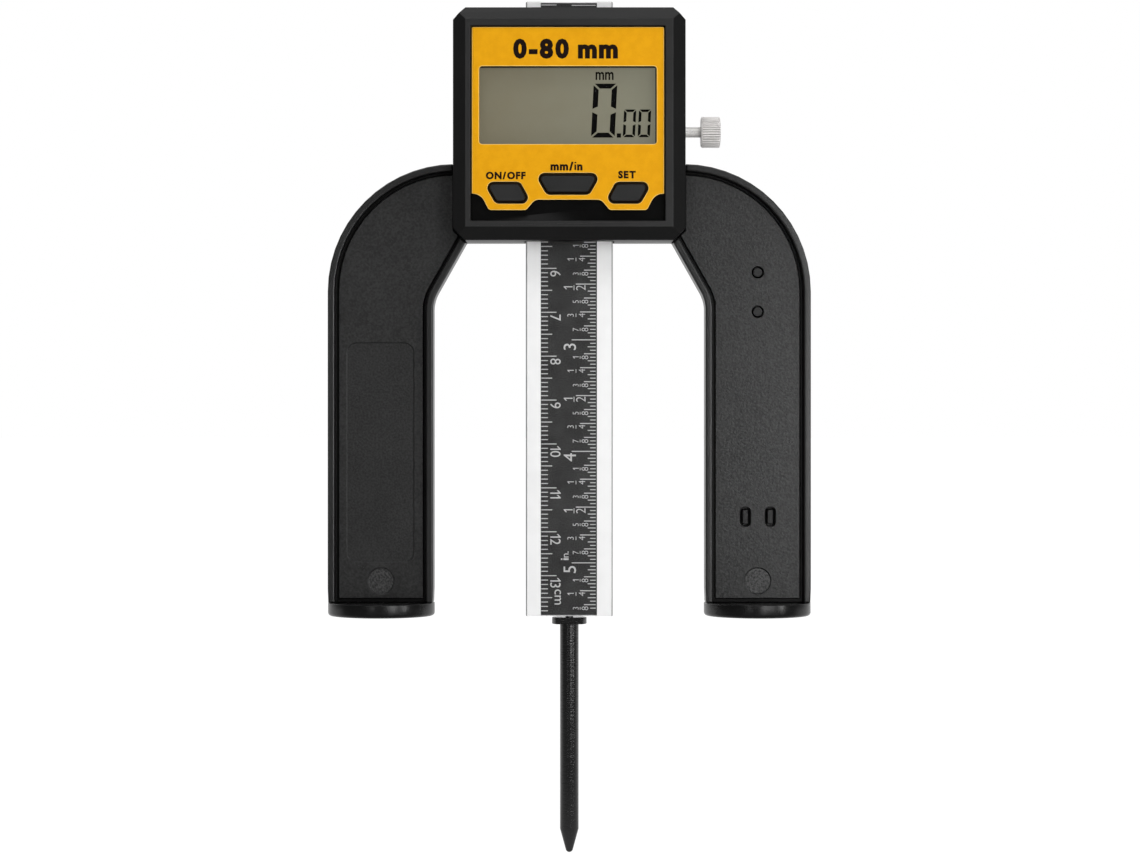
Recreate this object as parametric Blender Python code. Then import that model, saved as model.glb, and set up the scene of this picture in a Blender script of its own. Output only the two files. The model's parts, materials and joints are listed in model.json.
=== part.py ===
"""Digital height gauge: a display head on a bridge stand, with a sliding beam and a probe.

Lengths are in metres. X is the width, Y runs from the front to the back and Z is up.
The origin is below the middle of the stand, level with the probe's tip at the beam's lowest place.
"""
import math

import bmesh
import bpy
from mathutils import Vector

# General clearances and counts
FIT = 0.0003                    # space between two pieces that meet
OVERRUN = 0.003                 # how far a cutter runs past the face that it opens
ARC_STEPS = 5                   # facets in a quarter turn of a small fillet
SHOULDER_STEPS = 14             # facets in a quarter turn of a wide curve
ROUND_SIDES = 24                # facets round a small turned piece
SCREW_SIDES = 16                # facets round a small screw
WIDE_SIDES = 44                 # facets round a wide turned piece
SMOOTH_ANGLE = math.radians(35)

# Stand
PROBE_DROP = 0.054              # from the feet's face down to the probe's tip
STAND_WIDTH = 0.110
STAND_DEPTH = 0.008
STAND_HEIGHT = 0.103            # from the feet's face to the top of the stand
LEG_WIDTH = 0.024
SHOULDER_RADIUS = 0.029
BRIDGE_RISE = 0.0853            # from the feet's face to the bridge's underside
BRIDGE_SPAN = 0.047             # flat width of the bridge's underside
THROAT_DROP = 0.0133            # from the bridge's underside to where the legs turn upright
THROAT_RADIUS = 0.008
LEG_TAPER = 0.00012             # how far a leg narrows at its foot, on each side
LEG_TAPER_RISE = 0.003
RIM_WIDTH = 0.0016
GROOVE_WIDTH = 0.00075          # between the rim and the raised panel
GROOVE_DEPTH = 0.0025           # below the rim's front face
PANEL_DEPTH = 0.0020            # below the rim's front face
PANEL_FOOT = 0.0008             # from the leg's lower end to the panel
REAR_POCKET_DEPTH = 0.003
REAR_POCKET_FOOT = 0.0087       # from the leg's lower end to the rear pocket
KEPT_BRIDGE_SHARE = 0.3         # of the room between the head and the clips, left unpocketed

# Shallow marks in the panels
MARK_DEPTH = 0.00025
LABEL_WIDTH = 0.0152
LABEL_HEIGHT = 0.050
LABEL_CORNER = 0.0022
LABEL_RISE = 0.0340             # from the leg's lower end to the middle of the label field
LABEL_SHIFT = 0.0001            # from the leg's middle outward
EJECTOR_RADIUS = 0.00295
EJECTOR_RISE = 0.0047           # from the leg's lower end to the round mark's middle

# Feet
FOOT_RADIUS = 0.0122
FOOT_THICKNESS = 0.003
FOOT_ROUNDING = 0.0008
MAGNET_RADIUS = 0.009
MAGNET_THICKNESS = 0.0015
MAGNET_RECESS = 0.0001          # from the foot's face up to the magnet
FOOT_SCREW_RADIUS = 0.0010
FOOT_SCREW_HEAD_RADIUS = 0.0023
FOOT_SCREW_LENGTH = 0.0090

# Tool clips behind the right leg
CLIP_PLATE = 0.0012
CLIP_PLATE_WIDTH = 0.0095
CLIP_BORE_RADIUS = 0.0022
CLIP_WALL = 0.0011
CLIP_MOUTH_ANGLE = math.radians(100)
CLIP_NECK = 0.0004              # from the plate to the clip's ring
CLIP_PIN_RADIUS = 0.00105
CLIP_PIN_RECESS = 0.0001        # from the panel's face to the pin's end
CLIP_UPPER_RISE = 0.0706        # from the leg's lower end to the middle of the upper clip
CLIP_UPPER_PITCH = 0.009
CLIP_UPPER_HEIGHT = 0.0130
CLIP_LOWER_RISE = 0.0193
CLIP_LOWER_PITCH = 0.0057
CLIP_LOWER_HEIGHT = 0.0068
CLIP_TONGUE_WIDTH = 0.0012
CLIP_TONGUE_HEIGHT = 0.0032
CLIP_TONGUE_PLAY = 0.0006       # between a tongue and the slot's side

# Head
HEAD_SIZE = 0.0525
HEAD_CORNER = 0.0028
HEAD_PROUD = 0.008              # from the stand's rim forward to the head's face
BEVEL_WIDTH = 0.0028
BEVEL_DEPTH = 0.0025
SHELL_DEPTH = 0.0077
SHELL_WALL = 0.0018
FRONT_WALL = 0.0021

# Faceplate
FACE_SHIFT = -0.0003            # of the faceplate's middle from the head's middle
FACE_PLAY = 0.00025             # between the plate and the sides of its recess
PLATE_BORDER = 0.00461          # from the head's side in to the plate, without the shift
PLATE_THICKNESS = 0.0008
PLATE_SETBACK = 0.0006          # behind the head's front face
PLATE_TOP_BORDER = 0.0047       # from the head's top down to the plate's top
PLATE_SIDE_FOOT = 0.0103        # heights from the head's underside
PLATE_PAD_FOOT = 0.00662
PLATE_MIDDLE_FOOT = 0.00895
FACE_RECESS_FOOT = 0.0042
PLATE_TIP_WIDTH = 0.002        # width of the small flat at the foot of each side edge
PLATE_SLANT = 0.00185            # how far the edge runs inward as it drops to the pad
PLATE_PAD_END = 0.0094          # half widths from the plate's middle
PLATE_MIDDLE_END = 0.00745
PLATE_SHOULDER_RADIUS = 0.0029
PLATE_FILLET = 0.0009
PLATE_MIDDLE_FILLET = 0.0017    # where the middle edge turns down to a pad
PLATE_CORNER = 0.0003

# Window and display
WINDOW_BORDER = 0.00168          # from the plate's side in to the window
WINDOW_TOP_BORDER = 0.0088      # from the plate's top down to the window
WINDOW_FOOT = 0.02146            # from the head's underside up to the window
WINDOW_CORNER = 0.00065
WINDOW_LAP = 0.0016             # how far the clear window reaches behind the plate
WINDOW_THICKNESS = 0.0008
LEDGE_LAP = 0.0005              # from the window's edge outward to the edge of the wall's opening
GLASS_LAP = 0.0013              # how far the display reaches past the window
GLASS_THICKNESS = 0.0009
GLASS_STEP = 0.0023             # bare ledge of the front glass above and below the rear glass
GLASS_SIDE_STEP = 0.0004
HOLDER_WALL = 0.0009
STRIP_HEIGHT = 0.0014
STRIP_END = 0.001               # from the display's side in to a strip's end

# Key caps, measured from the faceplate's middle and the head's underside
KEY_PROUD = 0.0005
KEY_TRAVEL = 0.0004
KEY_PLAY = 0.00025
KEY_ROUNDING = 0.00035
KEY_FLANGE_WIDTH = 0.0007
KEY_FLANGE_THICKNESS = 0.0006
SIDE_KEY_FOOT = 0.0083
SIDE_KEY_TOP = 0.01273
SIDE_KEY_BORDER = 0.00294        # from the plate's side in to the key
SIDE_KEY_GAP = 0.00367           # between the tops of the middle and the side keys
SIDE_KEY_OUTER_SLANT = 0.00251   # how far an end runs inward as it drops
SIDE_KEY_INNER_SLANT = 0.00242
SIDE_KEY_FILLET = 0.00115
MIDDLE_KEY_FOOT = 0.0103
MIDDLE_KEY_TOP = 0.01472
MIDDLE_KEY_SHARE = 0.481       # of the room that the three keys' tops take up
MIDDLE_KEY_SLANT = 0.00255
MIDDLE_KEY_FILLET = 0.00115

# Circuit board
BOARD_THICKNESS = 0.001
CHIP_RADIUS = 0.0026
CHIP_THICKNESS = 0.0005
CHIP_INSET = 0.0076             # from the plate's left side in to the chip's middle
CHIP_DROP = 0.0005              # from the display holder down to the chip
SWITCH_SIZE = 0.0046
SWITCH_THICKNESS = 0.0008
PLUNGER_RADIUS = 0.0011
PLUNGER_FREE_PLAY = 0.0001      # left between cap and plunger with the key pressed

# Beam and scale
BEAM_WIDTH = 0.0198
BEAM_THICKNESS = 0.0035
BEAM_LENGTH = 0.140
BEAM_SETBACK = 0.0007           # behind the rear housing's front face
BEAM_EDGE = 0.0003
SCALE_WIDTH = 0.0128
SCALE_THICKNESS = 0.0004
SCALE_SHIFT = -0.0001
BEAM_TRAVEL = 0.080

# Stop screws in the back of the beam
STOP_HEAD_RADIUS = 0.0012
STOP_HEAD_THICKNESS = 0.0010
STOP_SHANK_RADIUS = 0.0006
STOP_SHANK_LENGTH = 0.0014
STOP_SIDE = 0.006               # from the beam's middle, to the right
STOP_GROOVE_FOOT = 0.0039       # from the head's top down to the groove's lower end

# Guide strip and its spring
GUIDE_THICKNESS = 0.0006
GUIDE_END = 0.0014              # from the head's underside and top to the guide's slot
SPRING_THICKNESS = 0.00025
SPRING_BOW = 0.0004
SPRING_LENGTH = 0.040
SPRING_STEPS = 8

# Rear housing, battery and lid
BAY_FLOOR = 0.0011
BATTERY_RADIUS = 0.010
BATTERY_THICKNESS = 0.0032
BATTERY_STEP = 0.0014           # from the can's edge in to the inner pole
BATTERY_STEP_DEPTH = 0.0003
CONTACT_THICKNESS = 0.0003
CONTACT_LENGTH = 0.012
CONTACT_WIDTH = 0.004
EDGE_CONTACT_LENGTH = 0.0056
EDGE_CONTACT_WIDTH = 0.0024
EDGE_CONTACT_BOW = 0.0005
LID_WIDTH = 0.022
LID_TONGUE = 0.001
LID_TONGUE_THICKNESS = 0.0007
LIP_THICKNESS = 0.0005
LID_LAP = 0.003                 # from the battery down to the lower end of the lid's track
GRIP_COUNT = 5
GRIP_PITCH = 0.0012
GRIP_WIDTH = 0.0005
GRIP_DEPTH = 0.0003
GRIP_LENGTH = 0.010
GRIP_DROP = 0.0025              # from the lid's top to the first groove
HOUSING_EDGE = 0.0008           # chamfer round the rear face

# Screws through the head and the bridge
BOSS_RADIUS = 0.003
SHELL_SCREW_INSET = 0.00445
SHELL_SCREW_RADIUS = 0.0008
SHELL_SCREW_HEAD_RADIUS = 0.0016
SHELL_SCREW_HEAD = 0.0009
SHELL_SCREW_LENGTH = 0.007
BRIDGE_SCREW_INSET = 0.00825    # from the head's side
BRIDGE_SCREW_RISE = 0.0087
BRIDGE_SCREW_RADIUS = 0.001
BRIDGE_SCREW_HEAD_RADIUS = 0.002
BRIDGE_SCREW_HEAD = 0.0012
BRIDGE_SCREW_LENGTH = 0.0059
DRIVE_RADIUS = 0.0008
DRIVE_DEPTH = 0.0005
DRIVE_SIDES = 6

# Lock screw
LOCK_RISE = 0.0251              # from the head's underside to the screw's axis
LOCK_SCREW_RADIUS = 0.0012
LOCK_SHOE_LENGTH = 0.0022
LOCK_SHOE_HEIGHT = 0.005
LOCK_SHOE_EDGE = 0.0003         # from the beam's faces in to the shoe's faces
LOCK_BACKING = 0.0014           # how far the shoe can draw back
KNOB_STAND_OFF = 0.00375        # from the head's side to the knob
KNOB_RADIUS = 0.0035
KNOB_LENGTH = 0.0044
KNOB_CHAMFER = 0.0005
KNOB_RIBS = 46
KNOB_RIB_DEPTH = 0.00018

# Probe
TIP_RADIUS = 0.00085
TIP_CONE = 0.0054
ROD_RADIUS = 0.00213
COLLAR_RADIUS = 0.00397
COLLAR_THICKNESS = 0.0015
COLLAR_FLATS = 0.0051
STUD_RADIUS = 0.0009
STUD_LENGTH = 0.0045
TIP_STEPS = 4
TIP_ARC = math.radians(68)

# Places across the width
STAND_HALF = STAND_WIDTH / 2
LEG_INNER = STAND_HALF - LEG_WIDTH
LEG_CENTRE = STAND_HALF - LEG_WIDTH / 2
BRIDGE_HALF = BRIDGE_SPAN / 2
HEAD_HALF = HEAD_SIZE / 2
PLATE_HALF = HEAD_HALF - PLATE_BORDER
WINDOW_WIDTH = 2 * (PLATE_HALF - WINDOW_BORDER)
SIDE_KEY_OUTER = PLATE_HALF - SIDE_KEY_BORDER
MIDDLE_KEY_HALF = MIDDLE_KEY_SHARE * (SIDE_KEY_OUTER - SIDE_KEY_GAP)
SIDE_KEY_INNER = MIDDLE_KEY_HALF + SIDE_KEY_GAP
BEAM_HALF = BEAM_WIDTH / 2
CHANNEL_HALF = BEAM_HALF + FIT
SHELL_SCREW_SIDE = HEAD_HALF - SHELL_SCREW_INSET
BRIDGE_SCREW_SIDE = HEAD_HALF - BRIDGE_SCREW_INSET
CLIP_SIDE = LEG_CENTRE - CLIP_PLATE_WIDTH / 2
KEPT_BRIDGE_END = HEAD_HALF + FIT + KEPT_BRIDGE_SHARE * (CLIP_SIDE - HEAD_HALF - FIT)

# Heights
FEET_Z = PROBE_DROP
LEG_END_Z = FEET_Z + FOOT_THICKNESS + FIT
STAND_TOP_Z = FEET_Z + STAND_HEIGHT
BRIDGE_Z = FEET_Z + BRIDGE_RISE
HEAD_Z = BRIDGE_Z
HEAD_TOP_Z = HEAD_Z + HEAD_SIZE
HEAD_MIDDLE_Z = HEAD_Z + HEAD_SIZE / 2
BEAM_Z = PROBE_DROP
BEAM_TOP_Z = BEAM_Z + BEAM_LENGTH
PLATE_TOP = HEAD_SIZE - PLATE_TOP_BORDER
WINDOW_HEIGHT = PLATE_TOP - WINDOW_TOP_BORDER - WINDOW_FOOT
WINDOW_Z = HEAD_Z + WINDOW_FOOT + WINDOW_HEIGHT / 2
HOUSING_STEP_Z = STAND_TOP_Z + FIT
BATTERY_Z = (HOUSING_STEP_Z + HEAD_TOP_Z) / 2
LOCK_Z = HEAD_Z + LOCK_RISE
SHELL_SCREW_HEIGHTS = (HEAD_Z + SHELL_SCREW_INSET, HEAD_TOP_Z - SHELL_SCREW_INSET)
BRIDGE_SCREW_Z = BRIDGE_Z + BRIDGE_SCREW_RISE
STOP_GROOVE_Z = HEAD_TOP_Z - STOP_GROOVE_FOOT
STOP_UPPER_Z = STOP_GROOVE_Z + FIT + STOP_HEAD_RADIUS
STOP_LOWER_Z = BRIDGE_Z - FIT - STOP_HEAD_RADIUS - BEAM_TRAVEL
CLIP_UPPER_Z = LEG_END_Z + CLIP_UPPER_RISE
CLIP_LOWER_Z = LEG_END_Z + CLIP_LOWER_RISE
LID_Z = BATTERY_Z - BATTERY_RADIUS - LID_LAP

# Depths of the stand
RIM_FRONT_Y = -STAND_DEPTH / 2
RIM_REAR_Y = STAND_DEPTH / 2
GROOVE_Y = RIM_FRONT_Y + GROOVE_DEPTH
PANEL_Y = RIM_FRONT_Y + PANEL_DEPTH
REAR_POCKET_Y = RIM_REAR_Y - REAR_POCKET_DEPTH
CLIP_Y = REAR_POCKET_Y + FIT

# Depths of the head, from the front to the back
HEAD_Y = RIM_FRONT_Y - HEAD_PROUD
PLATE_Y = HEAD_Y + PLATE_SETBACK
FACE_FLOOR_Y = PLATE_Y + PLATE_THICKNESS + FIT
WINDOW_BACK_Y = FACE_FLOOR_Y + WINDOW_THICKNESS
FRONT_WALL_Y = FACE_FLOOR_Y + FRONT_WALL
GLASS_Y = FRONT_WALL_Y + FIT
GLASS_JOINT_Y = GLASS_Y + GLASS_THICKNESS
SHELL_BACK_Y = HEAD_Y + SHELL_DEPTH
BOARD_Y = SHELL_BACK_Y - BOARD_THICKNESS
ON_BOARD_Y = BOARD_Y - FIT
KEY_Y = PLATE_Y - KEY_PROUD
KEY_FLANGE_Y = FRONT_WALL_Y + FIT
KEY_BACK_Y = KEY_FLANGE_Y + KEY_FLANGE_THICKNESS
PLUNGER_Y = KEY_BACK_Y + KEY_TRAVEL + PLUNGER_FREE_PLAY
HOUSING_Y = SHELL_BACK_Y + FIT
BEAM_Y = HOUSING_Y + BEAM_SETBACK
BEAM_BACK_Y = BEAM_Y + BEAM_THICKNESS
BEAM_MIDDLE_Y = (BEAM_Y + BEAM_BACK_Y) / 2
SCALE_BACK_Y = BEAM_Y + SCALE_THICKNESS
SCALE_GROOVE_Y = SCALE_BACK_Y + FIT
PROBE_Y = (SCALE_GROOVE_Y + BEAM_BACK_Y) / 2
CHANNEL_Y = BEAM_BACK_Y + FIT
STOP_HEAD_Y = CHANNEL_Y
STOP_BACK_Y = STOP_HEAD_Y + STOP_HEAD_THICKNESS
BRIDGE_FRONT_Y = CHANNEL_Y
HOUSING_SEAT_Y = BRIDGE_FRONT_Y - FIT
BAY_Y = CHANNEL_Y + BAY_FLOOR
CONTACT_Y = BAY_Y + FIT
BATTERY_Y = CONTACT_Y + CONTACT_THICKNESS + FIT
TRACK_Y = BATTERY_Y + BATTERY_THICKNESS
LID_Y = TRACK_Y + FIT
LIP_Y = LID_Y + LID_TONGUE_THICKNESS + FIT
HOUSING_BACK_Y = LIP_Y + LIP_THICKNESS
SHELL_SEAT_Y = HOUSING_SEAT_Y - SHELL_SCREW_HEAD - FIT
SHELL_SCREW_Y = SHELL_SEAT_Y + FIT
BRIDGE_SEAT_Y = RIM_REAR_Y - BRIDGE_SCREW_HEAD - FIT
BRIDGE_SCREW_Y = BRIDGE_SEAT_Y + FIT

# Lock places along the screw's axis
SHOE_X = CHANNEL_HALF
SHOE_END_X = SHOE_X + LOCK_SHOE_LENGTH
LOCK_TIP_X = SHOE_END_X + FIT
KNOB_X = HEAD_HALF + KNOB_STAND_OFF
KNOB_END_X = KNOB_X + KNOB_LENGTH


def clear_scene():
    """Take every object out of the file."""
    for item in list(bpy.data.objects):
        bpy.data.objects.remove(item, do_unlink=True)


def rounded(corners, radii, steps=ARC_STEPS):
    """Return a closed outline whose corners are arcs, each of its own radius.

    The steps are the facets in a quarter turn.
    """
    outline = []
    for index, (corner, radius) in enumerate(zip(corners, radii)):
        here = Vector(corner)
        if radius == 0:
            outline.append(here)
            continue
        back = (Vector(corners[index - 1]) - here).normalized()
        ahead = (Vector(corners[(index + 1) % len(corners)]) - here).normalized()
        half = back.angle(ahead) / 2
        centre = here + (back + ahead).normalized() * (radius / math.sin(half))
        start = here + back * (radius / math.tan(half)) - centre
        end = here + ahead * (radius / math.tan(half)) - centre
        first = math.atan2(start.y, start.x)
        turn = (math.atan2(end.y, end.x) - first + math.pi) % math.tau - math.pi
        count = max(1, round(steps * abs(turn) / (math.pi / 2)))
        for step in range(count + 1):
            angle = first + turn * step / count
            outline.append(centre + Vector((math.cos(angle), math.sin(angle))) * radius)
    return outline


def rectangle(centre, width, height, radius=0, steps=ARC_STEPS):
    """Return an anticlockwise rectangle with equal corner radii."""
    across, up = width / 2, height / 2
    signs = ((-1, -1), (1, -1), (1, 1), (-1, 1))
    corners = [(centre[0] + sx * across, centre[1] + sy * up) for sx, sy in signs]
    return rounded(corners, [radius] * 4, steps)


def inset(outline, distance):
    """Return an anticlockwise outline moved inward, with mitred corners."""
    moved = []
    for index, point in enumerate(outline):
        before = (point - outline[index - 1]).normalized()
        after = (outline[(index + 1) % len(outline)] - point).normalized()
        normal = Vector((-before.y, before.x))
        bisector = (normal + Vector((-after.y, after.x))).normalized()
        moved.append(point + bisector * (distance / bisector.dot(normal)))
    return moved


def circle(centre, radius, sides=ROUND_SIDES):
    """Return an anticlockwise circle, or its centre alone where the radius is zero."""
    if radius == 0:
        return [Vector(centre)]
    angles = [math.tau * (side + 0.5) / sides for side in range(sides)]
    return [Vector(centre) + Vector((math.cos(a), math.sin(a))) * radius for a in angles]


def ring(outline, axis, level):
    """Stand an outline on the plane that lies square to an axis at a level."""
    if axis == "X":
        return [Vector((level, a, b)) for a, b in outline]
    if axis == "Y":
        return [Vector((a, level, b)) for a, b in outline]
    return [Vector((a, b, level)) for a, b in outline]


def prism(outline, axis, low, high):
    """Return the two rings of a straight prism."""
    return [ring(outline, axis, low), ring(outline, axis, high)]


def block(low, high):
    """Return the rings of a box between two corners."""
    outline = [(low[0], low[1]), (high[0], low[1]), (high[0], high[1]), (low[0], high[1])]
    return prism(outline, "Z", low[2], high[2])


def turned(centre, axis, profile, sides=ROUND_SIDES):
    """Return the rings of a turned shape from radius and level pairs."""
    return [ring(circle(centre, radius, sides), axis, level) for radius, level in profile]


def add_rings(mesh, rings, hollow=False):
    """Skin a row of rings, and close it with caps or, for a hollow ring, onto itself."""
    loops = [[mesh.verts.new(point) for point in points] for points in rings]
    pairs = list(zip(loops, loops[1:]))
    if hollow:
        pairs.append((loops[-1], loops[0]))
    for near, far in pairs:
        for index in range(max(len(near), len(far))):
            following = index + 1
            corners = (near[index % len(near)], near[following % len(near)],
                       far[following % len(far)], far[index % len(far)])
            mesh.faces.new(list(dict.fromkeys(corners)))
    if not hollow:
        for loop in (loops[0], loops[-1]):
            if len(loop) > 2:
                mesh.faces.new(loop)


def make_mesh(name, shapes, hollow=False, origin=(0, 0, 0)):
    """Build one mesh from one or more rows of rings."""
    work = bmesh.new()
    for rings in shapes:
        add_rings(work, rings, hollow)
    bmesh.ops.translate(work, verts=work.verts, vec=-Vector(origin))
    bmesh.ops.recalc_face_normals(work, faces=work.faces)
    mesh = bpy.data.meshes.new(name)
    work.to_mesh(mesh)
    work.free()
    return mesh


def place_of(item):
    """Return an object's place in the world from its own and its parents' places."""
    total = Vector((0, 0, 0))
    while item:
        total += item.location
        item = item.parent
    return total


def carrier(name, place, parent=None):
    """Add the empty that carries a moving group, set on its joint's axis."""
    empty = bpy.data.objects.new(name, None)
    empty.parent = parent
    empty.location = Vector(place) - place_of(parent)
    bpy.context.collection.objects.link(empty)
    return empty


def solid(name, rings, material, parent=None, hollow=False, smooth=False):
    """Add one piece from rings given in world places."""
    mesh = make_mesh(name, [rings], hollow, place_of(parent))
    return stamp(name, mesh, material, (0, 0, 0), parent, smooth)


def stamp(name, mesh, material, place, parent=None, smooth=False):
    """Add one piece from a mesh, which other pieces may share."""
    if smooth:
        mesh.shade_smooth()
        mesh.set_sharp_from_angle(angle=SMOOTH_ANGLE)
    if not mesh.materials:
        mesh.materials.append(material)
    piece = bpy.data.objects.new(name, mesh)
    piece.parent = parent
    piece.location = place
    bpy.context.collection.objects.link(piece)
    return piece


def tool(name, *shapes):
    """Add a hidden cutter made of one or more closed shapes."""
    cutter = bpy.data.objects.new(name, make_mesh(name, shapes))
    cutter.hide_render = True
    cutter.display_type = "WIRE"
    bpy.context.collection.objects.link(cutter)
    return cutter


def combine(piece, cutter, operation="DIFFERENCE"):
    """Cut a tool out of a piece, or join or intersect the two."""
    modifier = piece.modifiers.new(cutter.name, "BOOLEAN")
    modifier.operation = operation
    modifier.solver = "EXACT"
    modifier.object = cutter


def make_material(name, colour, roughness, metallic):
    """Return a plain shaded material."""
    material = bpy.data.materials.new(name)
    material.use_nodes = True
    shader = material.node_tree.nodes["Principled BSDF"]
    shader.inputs["Base Color"].default_value = (*colour, 1)
    shader.inputs["Roughness"].default_value = roughness
    shader.inputs["Metallic"].default_value = metallic
    return material


def matte_black_plastic():
    """Textured moulding of the stand, the feet and the clips."""
    return make_material("matte_black_plastic", (0.030, 0.030, 0.031), 0.55, 0)


def gloss_black_plastic():
    """Smooth moulding of the head."""
    return make_material("gloss_black_plastic", (0.012, 0.012, 0.013), 0.25, 0)


def yellow_plate():
    """Printed sheet of the faceplate."""
    return make_material("yellow_plate", (0.82, 0.36, 0.010), 0.4, 0)


def grey_rubber():
    """Moulded key caps."""
    return make_material("grey_rubber", (0.035, 0.035, 0.038), 0.6, 0)


def satin_steel():
    """Ground stainless steel."""
    return make_material("satin_steel", (0.78, 0.78, 0.77), 0.3, 1)


def bright_nickel():
    """Plated screws and knob."""
    return make_material("bright_nickel", (0.72, 0.71, 0.68), 0.22, 1)


def black_steel():
    """Blackened steel of the probe and the small screws."""
    return make_material("black_steel", (0.02, 0.02, 0.022), 0.28, 0.6)


def printed_scale():
    """Dark printed strip."""
    return make_material("printed_scale", (0.045, 0.045, 0.047), 0.5, 0)


def clear_sheet():
    """Clear acrylic of the window."""
    return make_material("clear_sheet", (0.75, 0.78, 0.72), 0.08, 0)


def display_grey():
    """Grey olive glass of the liquid crystal display."""
    return make_material("display_grey", (0.21, 0.20, 0.14), 0.15, 0)


def board_green():
    """Lacquered circuit board."""
    return make_material("board_green", (0.02, 0.12, 0.05), 0.4, 0)


def soft_rubber():
    """Rubber of the contact strips."""
    return make_material("soft_rubber", (0.30, 0.30, 0.32), 0.7, 0)


def brass():
    """Brass of the lock shoe."""
    return make_material("brass", (0.75, 0.52, 0.20), 0.3, 1)


def dark_magnet():
    """Sintered magnet."""
    return make_material("dark_magnet", (0.12, 0.12, 0.125), 0.45, 0.8)


def stand_outline(foot, taper=0):
    """Return the front outline of the whole stand, down to a given height."""
    top_corner = STAND_HALF, STAND_TOP_Z
    outer_foot = [(STAND_HALF - taper, foot)]
    inner_foot = [(LEG_INNER + taper, foot)]
    if taper:
        outer_foot.append((STAND_HALF, foot + LEG_TAPER_RISE))
        inner_foot.insert(0, (LEG_INNER, foot + LEG_TAPER_RISE))
    throat = LEG_INNER, BRIDGE_Z - THROAT_DROP
    right = [(BRIDGE_HALF, BRIDGE_Z), throat, *inner_foot, *outer_foot, top_corner]
    radii = [0, THROAT_RADIUS] + [0] * (len(inner_foot) + len(outer_foot)) + [SHOULDER_RADIUS]
    left = [(-across, up) for across, up in reversed(right)]
    return rounded(right + left, radii + radii[::-1], SHOULDER_STEPS)


def head_outline(grow=0):
    """Return the head's square outline with its planed corners."""
    half = HEAD_HALF + grow
    cut = HEAD_CORNER + grow * (2 - math.sqrt(2))
    corner = [(half, half - cut), (half - cut, half)]
    turned_corner = [(-up, across) for across, up in corner]
    points = corner + turned_corner
    points += [(-across, -up) for across, up in points]
    return [Vector((across, HEAD_MIDDLE_Z + up)) for across, up in points]


def cut_stand_pockets(stand):
    """Sink the web below the rim, front and back."""
    floor = inset(stand_outline(LEG_END_Z - RIM_WIDTH - OVERRUN), RIM_WIDTH)
    margin = RIM_WIDTH + GROOVE_WIDTH
    panel = inset(stand_outline(LEG_END_Z + PANEL_FOOT - margin), margin)
    front = tool("front_pocket_tool", [ring(floor, "Y", RIM_FRONT_Y - OVERRUN),
                                       ring(floor, "Y", GROOVE_Y),
                                       ring(panel, "Y", GROOVE_Y),
                                       ring(panel, "Y", PANEL_Y)])
    combine(stand, front)
    rear = tool("rear_pocket_tool", prism(floor, "Y", REAR_POCKET_Y, RIM_REAR_Y + OVERRUN))
    kept_bridge = tool("kept_bridge_tool", block(
        (-KEPT_BRIDGE_END, 0, BRIDGE_Z - THROAT_DROP), (KEPT_BRIDGE_END, STAND_DEPTH, STAND_TOP_Z)))
    kept_feet = tool("kept_feet_tool", block(
        (-STAND_WIDTH, -STAND_DEPTH, 0), (STAND_WIDTH, STAND_DEPTH, LEG_END_Z + REAR_POCKET_FOOT)))
    combine(rear, kept_bridge)
    combine(rear, kept_feet)
    combine(stand, rear)


def cut_head_space(stand):
    """Cut the stand away round the head, and leave the bridge plate behind it."""
    outline = head_outline(FIT)
    space = tool("head_space_tool", prism(outline, "Y", HEAD_Y, BRIDGE_FRONT_Y))
    combine(stand, space)


def cut_stand_marks(stand):
    """Sink the label field and the round ejector marks."""
    low, high = PANEL_Y - PANEL_DEPTH, PANEL_Y + MARK_DEPTH
    label_centre = -LEG_CENTRE - LABEL_SHIFT, LEG_END_Z + LABEL_RISE
    label = rectangle(label_centre, LABEL_WIDTH, LABEL_HEIGHT, LABEL_CORNER)
    shapes = [prism(label, "Y", low, high)]
    for side in (-1, 1):
        mark = circle((side * LEG_CENTRE, LEG_END_Z + EJECTOR_RISE), EJECTOR_RADIUS, WIDE_SIDES)
        shapes.append(prism(mark, "Y", low, high))
    combine(stand, tool("marks_tool", *shapes))


def clip_pin_places():
    """Return the middles of the upper clip's two pins."""
    return [(LEG_CENTRE, CLIP_UPPER_Z + side * CLIP_UPPER_PITCH / 2) for side in (-1, 1)]


def clip_tongue_places():
    """Return the middles of the lower clip's two tongues."""
    return [(LEG_CENTRE + side * CLIP_LOWER_PITCH / 2, CLIP_LOWER_Z) for side in (-1, 1)]


def cut_clip_holes(stand):
    """Open the web for the clips' pins and tongues."""
    low, high = PANEL_Y - PANEL_DEPTH, RIM_REAR_Y
    shapes = []
    for place in clip_pin_places():
        shapes.append(prism(circle(place, CLIP_PIN_RADIUS + FIT), "Y", low, high))
    width = CLIP_TONGUE_WIDTH + 2 * CLIP_TONGUE_PLAY
    height = CLIP_TONGUE_HEIGHT + 2 * CLIP_TONGUE_PLAY
    for place in clip_tongue_places():
        slot = rectangle(place, width, height, width / 2 - MARK_DEPTH)
        shapes.append(prism(slot, "Y", low, high))
    combine(stand, tool("clip_holes_tool", *shapes))


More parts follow.
